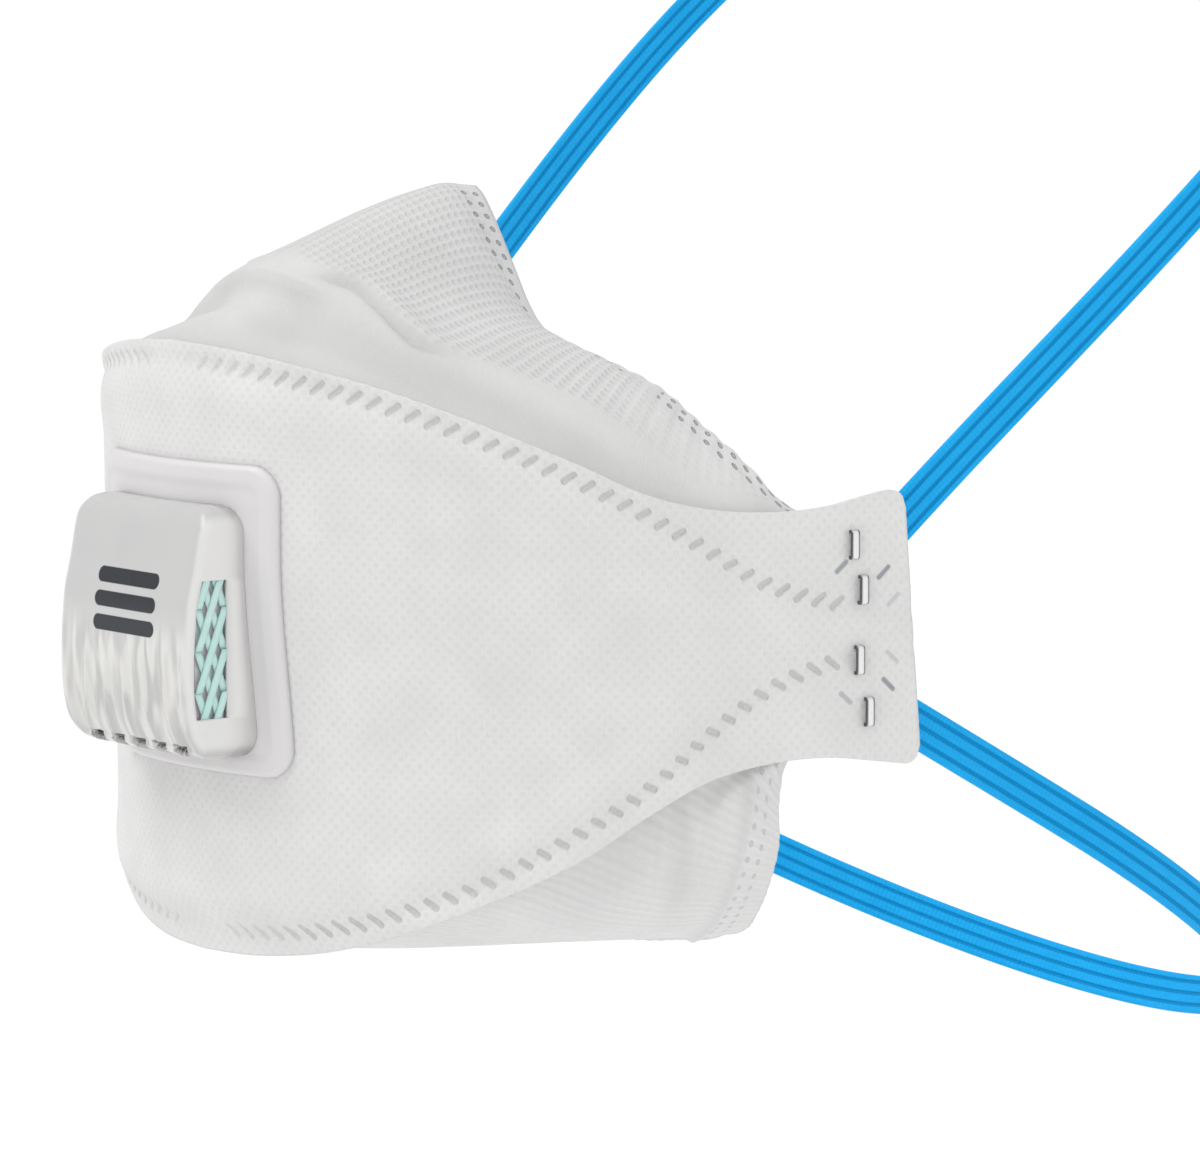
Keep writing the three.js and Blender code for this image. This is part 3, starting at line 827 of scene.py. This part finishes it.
PANEL_COLUMNS, PANEL_ROWS = 460, 84
WEB_COLUMNS, WEB_ROWS = 300, 72
ROW_CROWDING = 0.11 * 6.5    # how much closer the rows are at the rims


def centre_turn(u, v):
    return (2 * u - 1) * (TAB_END - TAB_RAKE * v)


def rim_relief(turn, z):
    """How the welded rims, the pinches at the staples and the soft body stand out or in."""
    way, off = weld_place(turn, z)
    welded = smoothstep(way, WELD_FROM - 4, WELD_FROM) * fade(abs(turn), 76, 80)
    groove = -0.5 * hill(off + 0.1, 1.25) * (0.35 + 0.65 * welded)
    pillow = 0.13 * math.cos(2 * math.pi * (way - off) / WELD_PITCH) * hill(off, 1.7) * welded
    body = 0.35 * hill(off + 4.6, 2.8) * fade(abs(turn), 58, 72)
    pinch = 0.0
    for staple in STAPLES:
        across = math.radians(abs(turn) - staple.turn) * DEPTH
        up = max(abs(z - staple.z) - 1.2, 0.0)
        pinch -= 0.3 * hill(math.hypot(across, up), 1.7)
    soft = 0.25 * math.sin(turn * 0.11 + 0.8) * math.cos(z * 0.09 + turn * 0.03)
    soft *= fade(abs(turn), 60, 75) * smoothstep(abs(turn), 16, 30)
    return groove + pillow + body + pinch + soft


def centre_surface(u, v):
    turn = centre_turn(u, v)
    end = TAB_END - TAB_RAKE * v
    from_end = math.radians(end - abs(turn)) * DEPTH
    inset = TAB_CORNER - min(from_end, TAB_CORNER)
    cut = TAB_CORNER - math.sqrt(TAB_CORNER**2 - inset**2)
    z = lerp(rim("low_edge", turn) + cut, rim("up_edge", turn) - cut, v)
    return front_point(turn, z, rim_relief(turn, z))


def rim_rows(v):
    """Rows are closer together near both rims, where the welds are."""
    return v - ROW_CROWDING * math.sin(4 * math.pi * v) / (4 * math.pi)


def make_centre_panel(cloth):
    def surface(u, v):
        return centre_surface(u, rim_rows(v))

    def height(u, v):
        turn = centre_turn(u, rim_rows(v))
        return turn, lerp(rim("low_edge", turn), rim("up_edge", turn), rim_rows(v))

    def flat(u, v):
        turn, z = height(u, v)
        return math.copysign(middle_way(turn), turn), z

    def weld(u, v):
        return weld_place(*height(u, v))

    bm = sheet_grid(PANEL_COLUMNS, PANEL_ROWS, surface, {"Cloth": flat, "Weld": weld})
    area = sum(face.calc_area() for face in bm.faces)
    thin = bm.verts.layers.deform.verify()
    for vertex in bm.verts:
        x, z = vertex.co.x / MM, vertex.co.z / MM + NOSE_SEAT.z
        turn = math.degrees(math.asin(clamp(abs(x) / HALF_WIDTH, 0, 1)))
        _, off = weld_place(turn, z)
        tab = smoothstep(turn, TAB_START, TAB_FULL)
        rim_thin = smoothstep(off, -3.5, 0.3)
        vertex[thin][0] = 1 - max((1 - TAB_WALL / PANEL_WALL) * tab, 0.42 * rim_thin)
    round_hole(bm, 0.0, PORT_HEIGHT, PANEL_HOLE)
    panel = piece_from(bm, "centre_cloth_panel", cloth)
    panel.vertex_groups.new(name="wall")
    add_wall(panel, PANEL_WALL, "wall")
    panel_length = 2 * middle_way(TAB_END) * MM
    return panel


def normal_of(surface, turn, v):
    along = surface(turn + 0.2, v) - surface(turn - 0.2, v)
    across = surface(turn, min(v + 0.004, 1.0)) - surface(turn, max(v - 0.004, 0.0))
    return along.cross(across).normalized()


def nose_relief(turn, v):
    along = past_rim(v)
    t = abs(turn)
    crease = column(NOSE_CREASE, "along", t)
    sharp = smoothstep(t, 8, 13) * fade(t, 27, 36)
    valley = column(NOSE_VALLEY, "along", t)
    fold = (0.6 * hill(along - crease - 0.04, 0.045) - 1.4 * hill(along - crease + 0.012, 0.018)) * sharp
    dip = -1.8 * hill(along - valley, 0.075) * smoothstep(t, 4, 14) * fade(t, 30, 52)
    corner = -2.6 * hill(along - 0.19, 0.08) * fade(along, 0.235, 0.26)
    corner *= fade(t, 8, 18)
    hem = -0.22 * hill(nose_margin(turn, v) - 2.8, 1.8)
    ripple = 0.12 * math.sin(turn * 1.9) * smoothstep(t, 34, 48) * smoothstep(along, 0.3, 0.7)
    return fold + dip + corner + hem + ripple


def nose_margin(turn, v):
    """Distance from the face edge, in millimetres."""
    return (nose_point(turn, v) - nose_edge(turn)).length


def chin_margin(turn, v):
    return (chin_point(turn, v) - chin_edge(turn)).length


def chin_relief(turn, v):
    along = past_rim(v)
    t = abs(turn)
    margin = chin_margin(turn, v)
    hem = -0.45 * hill(margin - 8.4, 0.9) + 0.2 * hill(margin - 2.4, 1.5)
    hem += 0.25 * hill(margin - 10.2, 1.2)
    fold = 0.55 * hill(along - column(CHIN_FOLD, "along", clamp(t, 30, 70)), 0.09)
    fold *= smoothstep(t, 38, 50) * fade(t, 62, 70)
    notch = -0.8 * hill(t - 34, 1.6) * hill(margin - 6, 5)
    ribs = 0.05 * math.sin(turn * 2.6)
    return hem + fold + notch + ribs


def make_web(name, cloth, point, relief, margin, way, turn_sign, marks):
    def turn_of(u):
        return turn_sign * (2 * u - 1) * WEB_END

    def surface(u, v):
        turn = turn_of(u)
        base = point(turn, v)
        if v <= RIM_SHARE:
            return base
        lift = relief(turn, v) * smoothstep(past_rim(v), 0.0, 0.06)
        return base + normal_of(point, turn, v) * lift

    def flat(u, v):
        turn = turn_of(u)
        return way(turn) * (1 if turn > 0 else -1), margin(turn, v)

    def edge(u, v):
        turn = turn_of(u)
        return way(turn), margin(turn, v)

    bm = sheet_grid(WEB_COLUMNS, WEB_ROWS, surface, {"Cloth": flat, "Edge": edge})
    area = sum(face.calc_area() for face in bm.faces)
    web = piece_from(bm, name, cloth)
    grid = [(i / WEB_COLUMNS, j / WEB_ROWS) for j in range(WEB_ROWS + 1) for i in range(WEB_COLUMNS + 1)]
    for mark, at in marks.items():
        marked = web.data.attributes.new(mark, "FLOAT", "POINT")
        marked.data.foreach_set("value", [at(turn_of(u), v) for u, v in grid])
    add_wall(web, WEB_WALL)
    size = (2 * middle_way(WEB_END) * MM, strip_height(point))
    return web


def nose_shade(turn, v):
    """Where the cloth lies in the soft shade of its own folds."""
    along, t = past_rim(v), abs(turn)
    crease = column(NOSE_CREASE, "along", t)
    fold = 0.7 * hill(along - crease + 0.014, 0.024) * smoothstep(t, 8, 13) * fade(t, 28, 38)
    valley = 0.75 * hill(along - column(NOSE_VALLEY, "along", t), 0.09) * smoothstep(t, 0, 14)
    return clamp(fold + valley * fade(t, 48, 66) + 0.35 * fade(along, 0.0, 0.12))


def chin_shade(turn, v):
    along, t = past_rim(v), abs(turn)
    hem = 0.5 * hill(chin_margin(turn, v) - 8.4, 1.0)
    fold = 0.5 * hill(along - column(CHIN_FOLD, "along", clamp(t, 30, 70)) + 0.12, 0.06)
    fold *= smoothstep(t, 40, 50)
    return clamp(hem + fold * fade(t, 60, 68) + 0.4 * fade(along, 0.0, 0.15))


def strip_height(point, steps=200):
    """Length of a web's tallest strip, at the middle, from weld line to face edge."""
    strip = [point(0.0, i / steps) for i in range(steps + 1)]
    return sum((b - a).length for a, b in zip(strip, strip[1:])) * MM


def make_nose_panel(cloth):
    def embossed(turn, v):
        crease = column(NOSE_CREASE, "along", abs(turn))
        body = smoothstep(past_rim(v), crease - 0.01, crease + 0.04)
        body *= smoothstep(nose_margin(turn, v), 2.2, 3.4)
        return body * (1 - 0.65 * smoothstep(abs(turn), 46, 58))

    return make_web("nose_cloth_panel", cloth, nose_point, nose_relief, nose_margin, nose_edge_way, 1,
                    {"embossed": embossed, "shaded": nose_shade})


def make_chin_panel(cloth):
    def embossed(turn, v):
        return smoothstep(chin_margin(turn, v), 8.0, 9.4) * 0.25

    return make_web("chin_cloth_panel", cloth, chin_point, chin_relief, chin_margin, chin_edge_way, -1,
                    {"embossed": embossed, "shaded": chin_shade})


# ------------------------------------------------------------------ valve

def panel_front(x, z):
    turn = math.degrees(math.asin(clamp(x / HALF_WIDTH, -1, 1)))
    return front_point(turn, z).y


def base_lift(inside):
    """Height of the base plate over the cloth at a distance inside its outline."""
    edge = BASE_WALL * math.sqrt(1 - (1 - clamp(inside / 0.95)) ** 2)
    step = -0.3 * smoothstep(inside, 2.1, 3.8)
    return GAP + edge + step


def make_valve_base(plastic):
    def surface(u, v):
        z = lerp(BASE_LOW, BASE_HIGH, v)
        x = (2 * u - 1) * corner_half(z, BASE_HALF, BASE_LOW, BASE_HIGH, BASE_CORNER)
        inside = outline_distance(x, z, BASE_HALF, BASE_LOW, BASE_HIGH, BASE_CORNER)
        return Vector((x, panel_front(x, z) - base_lift(inside), z))

    def denser(u):
        return u - 0.09 * math.sin(2 * math.pi * u)

    bm = sheet_grid(96, 96, lambda u, v: surface(denser(u), denser(v)), {})
    round_hole(bm, 0.0, PORT_HEIGHT, (PORT_RADIUS + SEAT_RADIUS) / 2)
    bmesh.ops.solidify(bm, geom=bm.faces[:], thickness=0.5 * MM)
    bmesh.ops.recalc_face_normals(bm, faces=bm.faces)
    add_seat_ring(bm)
    return piece_from(bm, "valve_base_plate", plastic)


def add_seat_ring(bm):
    """The seat: a ring whose section is spun round the port's axis."""
    corners = [
        (PORT_RADIUS, SEAT_FACE), (SEAT_RADIUS, SEAT_FACE),
        (SEAT_RADIUS, SEAT_BACK), (PORT_RADIUS, SEAT_BACK),
    ]
    ring = bmesh.new()
    bmesh.ops.create_grid(ring, x_segments=1, y_segments=1, size=0.5)
    face = ring.faces[:][0]
    for vertex, (r, y) in zip(face.verts[:], corners):
        vertex.co = placed(Vector((r, y, PORT_HEIGHT)))
    bmesh.ops.bevel(ring, geom=face.verts[:], offset=0.25 * MM, segments=2, profile=0.5,
                    affect="VERTICES", material=-1)
    bmesh.ops.spin(
        ring, geom=ring.faces[:] + ring.edges[:] + ring.verts[:], axis=(0, 1, 0),
        cent=placed(Vector((0, 0, PORT_HEIGHT))), angle=2 * math.pi, steps=72, use_merge=True,
    )
    bmesh.ops.delete(ring, geom=[f for f in ring.faces if len(f.verts) > 4], context="FACES")
    bmesh.ops.remove_doubles(ring, verts=ring.verts, dist=1e-6)
    bmesh.ops.recalc_face_normals(ring, faces=ring.faces)
    joined = bpy.data.meshes.new("ring")
    ring.to_mesh(joined)
    ring.free()
    bm.from_mesh(joined)
    bpy.data.meshes.remove(joined)


def make_valve_flap(rubber):
    back = SEAT_FACE - GAP

    def surface(u, v):
        z = lerp(FLAP_LOW, FLAP_HIGH, v)
        x = (2 * u - 1) * corner_half(z, FLAP_HALF, FLAP_LOW, FLAP_HIGH, FLAP_CORNER)
        return Vector((x, back - FLAP_WALL, z))

    bm = sheet_grid(40, 40, surface, {})
    bmesh.ops.solidify(bm, geom=bm.faces[:], thickness=FLAP_WALL * MM)
    flap = solid_from(bm, "valve_flap_sheet", rubber)
    edge = flap.modifiers.new("edge", "BEVEL")
    edge.width = 0.15 * MM
    edge.segments = 2
    edge.limit_method = "ANGLE"
    return flap


def cover_front(x, z):
    """Front of the cover, with upright flutes that fan out towards its lower edge."""
    fan = x * (1 + 0.014 * (z + 12))
    flute = 0.65 * abs(math.sin(math.pi * fan / VENT_PITCH)) ** 0.7
    flute += 0.35 * (0.5 - 0.5 * math.cos(2 * math.pi * fan / FLUTE_PITCH))
    low = smoothstep(-z, 1.5, 9) * fade(abs(x), 13.4, 14.6) * fade(-z, 15.6, 16.8)
    zigzag = 0.35 * smoothstep(-z, 11, 14) * (abs((x / FLUTE_PITCH) % 1 - 0.5) * 2 - 0.5)
    return column(COVER_FRONT, "y", z) + low * (0.75 * flute + zigzag)


COVER_STOPS = [(0.0, COVER_LOW), (0.24, WINDOW_LOW), (0.74, WINDOW_HIGH), (1.0, COVER_HIGH)]


def cover_height(v):
    for (v0, z0), (v1, z1) in zip(COVER_STOPS, COVER_STOPS[1:]):
        if v <= v1 + 1e-9:
            return lerp(z0, z1, (v - v0) / (v1 - v0))
    return COVER_HIGH


def make_valve_cover(plastic):
    def surface(u, v):
        z = cover_height(v)
        wide = corner_half(z, COVER_HALF, COVER_LOW, COVER_HIGH, COVER_CORNER)
        share = 2 * u - 1
        x = wide * (share + 0.06 * math.sin(math.pi * share))
        inside = outline_distance(x, z, COVER_HALF, COVER_LOW, COVER_HIGH, COVER_CORNER)
        round_ = COVER_FILLET * (1 - math.sqrt(1 - (1 - clamp(inside / COVER_FILLET)) ** 2))
        return Vector((x, cover_front(x, z) + round_, z))

    bm = sheet_grid(110, 100, surface, {})
    layer = [e for e in bm.edges if e.is_boundary]
    shell_walls = []
    for stop in ("upper", "lower", "foot"):
        made = bmesh.ops.extrude_edge_only(bm, edges=layer)["geom"]
        layer = [g for g in made if isinstance(g, bmesh.types.BMEdge) and g.is_boundary]
        shell_walls.append([g for g in made if isinstance(g, bmesh.types.BMFace)])
        for vertex in {v for e in layer for v in e.verts}:
            x, z = vertex.co.x / MM, vertex.co.z / MM + NOSE_SEAT.z
            foot = panel_front(x, z) - GAP - BASE_WALL - GAP + 0.5
            y = vertex.co.y / MM + NOSE_SEAT.y
            goal = {"upper": y + 0.4, "lower": max(y, WINDOW_BACK), "foot": foot}[stop]
            if stop == "lower":
                goal = min(goal, foot - 0.2) if foot - 0.2 > y else y + 0.02
            vertex.co.y = (max(goal, y + 0.02) - NOSE_SEAT.y) * MM
    bmesh.ops.recalc_face_normals(bm, faces=bm.faces)
    windows = []
    for face in shell_walls[0] + shell_walls[1]:
        middle = face.calc_center_median()
        z = middle.z / MM + NOSE_SEAT.z
        if abs(middle.x) > (COVER_HALF - 0.05) * MM and WINDOW_LOW < z < WINDOW_HIGH:
            windows.append(face)
    bmesh.ops.delete(bm, geom=windows, context="FACES")
    add_vents(bm)
    cover = piece_from(bm, "valve_cover_shell", plastic)
    add_wall(cover, COVER_WALL)
    return cover


def add_vents(bm):
    """Opens the vents along the lower edge, between the flutes."""
    gone = []
    for face in bm.faces:
        middle = face.calc_center_median()
        x, y, z = middle.x / MM, middle.y / MM + NOSE_SEAT.y, middle.z / MM + NOSE_SEAT.z
        across = abs((x / VENT_PITCH + 0.5) % 1 - 0.5) * VENT_PITCH
        if abs(x) < VENT_REACH and across < VENT_HALF and z < VENT_TOP and VENT_FRONT < y < VENT_BACK:
            gone.append(face)
    bmesh.ops.delete(bm, geom=gone, context="FACES")


def make_cover_ribs(plastic):
    """Slanting ribs that cross in each side window."""
    bm = bmesh.new()
    front, back = -6.3, WINDOW_BACK - 0.1
    for side in (-1, 1):
        for lean in (-1, 1):
            for start in RIB_STARTS:
                first = clamp((WINDOW_LOW - 0.5 - start) / RIB_TALL)
                last = clamp((WINDOW_HIGH + 0.5 - start) / RIB_TALL)

                def place(f, q, side=side, lean=lean, start=start, first=first, last=last):
                    share = lerp(first, last, f)
                    y = lerp(front, back, share if lean > 0 else 1 - share)
                    angle = 2 * math.pi * q
                    depth = 0.45 if lean > 0 else 0.8
                    x = side * (COVER_HALF - depth) + RIB_THICK * math.cos(angle)
                    return Vector((x, y + RIB_WIDE * math.sin(angle), start + RIB_TALL * share))
                closed_tube(bm, 10, 12, place)
    return solid_from(bm, "valve_window_ribs", plastic)


def make_window_liner(plastic):
    """The pale inner walls that show between the ribs."""
    bm = bmesh.new()
    for side in (-1, 1):
        made = bmesh.ops.create_cube(bm, size=1.0)["verts"]
        bmesh.ops.scale(bm, verts=made, vec=(0.5 * MM, 5.6 * MM, 22.0 * MM))
        middle = Vector((side * (COVER_HALF - 1.6), -3.6, (WINDOW_LOW + WINDOW_HIGH) / 2))
        bmesh.ops.translate(bm, verts=made, vec=placed(middle))
    return piece_from(bm, "valve_window_liner", plastic, smooth=False)


# ------------------------------------------------------------------ headbands and staples

def band_half(band, along):
    if along <= band.widest:
        f = along / band.widest
        quick = 0.28
        return lerp(band.start, band.half, (1 - quick) * f * f * (3 - 2 * f) + quick * f * (2 - f))
    f = (along - band.widest) / (band.reach - band.widest)
    return band.half * math.sqrt(max(1 - f * f, 0.0))


def band_route(band, count=720):
    """Evenly spaced points of the loop from the wearer's left tab round to the right one."""
    fine = []
    steps = 900
    for i in range(steps + 1):
        f = i / steps
        along = band.widest * f * 2 if f < 0.5 else (
            band.widest + (band.reach - band.widest) * math.sin((f - 0.5) * math.pi))
        fine.append(Vector((band_half(band, along), along)))
    loop = fine + [Vector((-p.x, p.y)) for p in reversed(fine[:-1])]
    ways = [0.0]
    for a, b in zip(loop, loop[1:]):
        ways.append(ways[-1] + (b - a).length)
    slope = math.radians(band.slope)
    route, j = [], 0
    for i in range(count + 1):
        goal = ways[-1] * i / count
        while j < len(ways) - 2 and ways[j + 1] < goal:
            j += 1
        p = loop[j].lerp(loop[j + 1], (goal - ways[j]) / (ways[j + 1] - ways[j]))
        route.append(Vector((p.x, band.y + p.y * math.cos(slope), band.z + p.y * math.sin(slope))))
    return route, ways[-1]


def band_section(q):
    """Once round the ribbon's section: place across it and height over its middle."""
    top = q < 0.5
    f = 2 * q if top else 2 - 2 * q
    across = BAND_WIDTH / 2 * math.sin(math.pi * (f - 0.5)) * 0.35 + BAND_WIDTH / 2 * (2 * f - 1) * 0.65
    past = max(abs(across) - (BAND_WIDTH / 2 - BAND_WALL / 2), 0.0) / (BAND_WALL / 2)
    height = BAND_WALL / 2 * math.sqrt(max(1 - past * past, 0.0))
    for groove in BAND_GROOVES:
        height -= 0.2 * hill(across - groove, 0.26)
    return across, height if top else -height


def make_headband(band, elastic):
    count = 480
    route, length = band_route(band, count)
    slope = math.radians(band.slope)
    width_way = Vector((0, -math.sin(slope), math.cos(slope)))

    def place(f, q):
        i = round(f * count)
        ahead = (route[min(i + 1, count)] - route[max(i - 1, 0)]).normalized()
        out = ahead.cross(width_way).normalized()
        across, height = band_section(q)
        return route[i] + width_way * across + out * height

    bm = bmesh.new()
    closed_tube(bm, count, 72, place, "Band", lambda f, q: (f * length, band_section(q)[0]))
    return solid_from(bm, band.name + "_elastic", elastic)


def staple_path():
    """Line of the wire's middle in the tab's own depth and height, foot to foot."""
    deep = -(TAB_WALL + GAP + BAND_WALL + GAP) - STAPLE_WIRE / 2
    high = STAPLE_CROWN / 2 - STAPLE_WIRE / 2
    top = GAP + STAPLE_WIRE / 2
    corners = [(deep, 0.45), (deep, high), (top, high), (top, -high), (deep, -high), (deep, -0.45)]
    bend = 0.32
    path = [corners[0]]
    for before, here, after in zip(corners, corners[1:], corners[2:]):
        a = Vector(here) + (Vector(before) - Vector(here)).normalized() * bend
        b = Vector(here) + (Vector(after) - Vector(here)).normalized() * bend
        for k in range(5):
            f = k / 4
            path.append(tuple(a.lerp(Vector(here), f).lerp(Vector(here).lerp(b, f), f)))
    path.append(corners[-1])
    return [Vector(p) for p in path]


def make_staple(name, row, side, wire):
    path = staple_path()
    last = len(path) - 1
    foot = front_point(row.turn, row.z)
    out = Vector((math.cos(math.radians(row.turn - 90)), math.sin(math.radians(row.turn - 90)), 0))
    across = Vector((-out.y, out.x, 0))

    def place(f, q):
        i = round(f * last)
        ahead = (path[min(i + 1, last)] - path[max(i - 1, 0)]).normalized()
        angle = 2 * math.pi * q + math.pi / 4
        square = 1 / max(abs(math.cos(angle)), abs(math.sin(angle))) * 0.93
        wide = STAPLE_WIDTH / 2 * clamp(math.cos(angle) * square * 1.08, -1, 1)
        thick = STAPLE_WIRE / 2 * clamp(math.sin(angle) * square * 1.08, -1, 1)
        spot = path[i] + Vector((-ahead.y, ahead.x)) * thick
        point = foot + out * spot.x + Vector((0, 0, spot.y)) + across * wide
        return Vector((side * point.x, point.y, point.z))

    bm = bmesh.new()
    closed_tube(bm, last, 16, place, "Wire",
                lambda f, q: (path[round(f * last)].y, math.cos(2 * math.pi * q + math.pi / 4)))
    return solid_from(bm, name, wire)


# ------------------------------------------------------------------ floor, light and camera

FLOOR_HALF, FLOOR_DROP = 60.0, 0.16      # metres


def make_floor():
    bm = bmesh.new()
    bmesh.ops.create_grid(bm, x_segments=8, y_segments=8, size=FLOOR_HALF)
    bmesh.ops.translate(bm, verts=bm.verts, vec=(0, 0, cad_box[0][2] - FLOOR_DROP))
    floor = piece_from(bm, "pale_floor", floor_paint(), smooth=False)


def make_lights():
    world = bpy.data.worlds.new("studio")
    world.use_nodes = True
    sky = world.node_tree.nodes["Background"]
    sky.inputs["Color"].default_value = (1.0, 1.0, 1.0, 1.0)
    sky.inputs["Strength"].default_value = 0.66
    bpy.context.scene.world = world
    for name, strength, spread, azimuth, height in (("key", 1.25, 45, -25, 58), ("fill", 0.5, 90, 95, 35)):
        lamp = bpy.data.lights.new(name, "SUN")
        lamp.energy = strength
        lamp.angle = math.radians(spread)
        light = added(name, lamp)
        light.rotation_euler = (math.radians(90 - height), 0, math.radians(azimuth))


def make_camera():
    """A long lens, seen from the wearer's left front and a little above."""
    azimuth, height, distance = math.radians(52), math.radians(6.5), 0.9
    target = placed(Vector((20.0, 62.4, 4.5)))
    back = Vector((
        math.sin(azimuth) * math.cos(height), -math.cos(azimuth) * math.cos(height), math.sin(height),
    ))
    data = bpy.data.cameras.new("camera")
    data.sensor_fit = "HORIZONTAL"
    data.sensor_width = 36.0
    data.lens = 183.6
    data.clip_end = 300.0
    camera = added("camera", data)
    camera.location = target + back * distance
    camera.rotation_euler = back.to_track_quat("Z", "Y").to_euler()
    bpy.context.scene.camera = camera


# ------------------------------------------------------------------ the mask

def stand_for(piece, slot, *nodes):
    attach(piece, "root")
    if nodes:
        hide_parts(*nodes)


bpy.context.scene.view_settings.view_transform = "Standard"
make_camera()
make_lights()
make_floor()

stand_for(make_centre_panel(cover_cloth()), "cover_cloth", "centre_panel")
stand_for(make_nose_panel(nose_cloth()), "web_cloth", "nose_panel")
stand_for(make_chin_panel(chin_cloth()), "web_cloth", "chin_panel")
stand_for(make_valve_base(base_plastic()), "white_plastic", "valve_base")
stand_for(make_valve_flap(flap_rubber()), "flap_rubber", "valve_flap")
stand_for(make_valve_cover(cover_plastic()), "clear_plastic", "valve_cover")
stand_for(make_cover_ribs(rib_plastic()), "clear_plastic")
stand_for(make_window_liner(liner_plastic()), "clear_plastic")

elastic = band_elastic()
for band in BANDS:
    stand_for(make_headband(band, elastic), "blue_elastic", band.name)

wire = staple_wire()
for word, side in (("left", 1), ("right", -1)):
    for number, row in enumerate(STAPLES, 1):
        node = f"staple_{word}_{number}"
        stand_for(make_staple(node + "_wire", row, side, wire), "staple_wire", node)

bpy.context.view_layer.update()
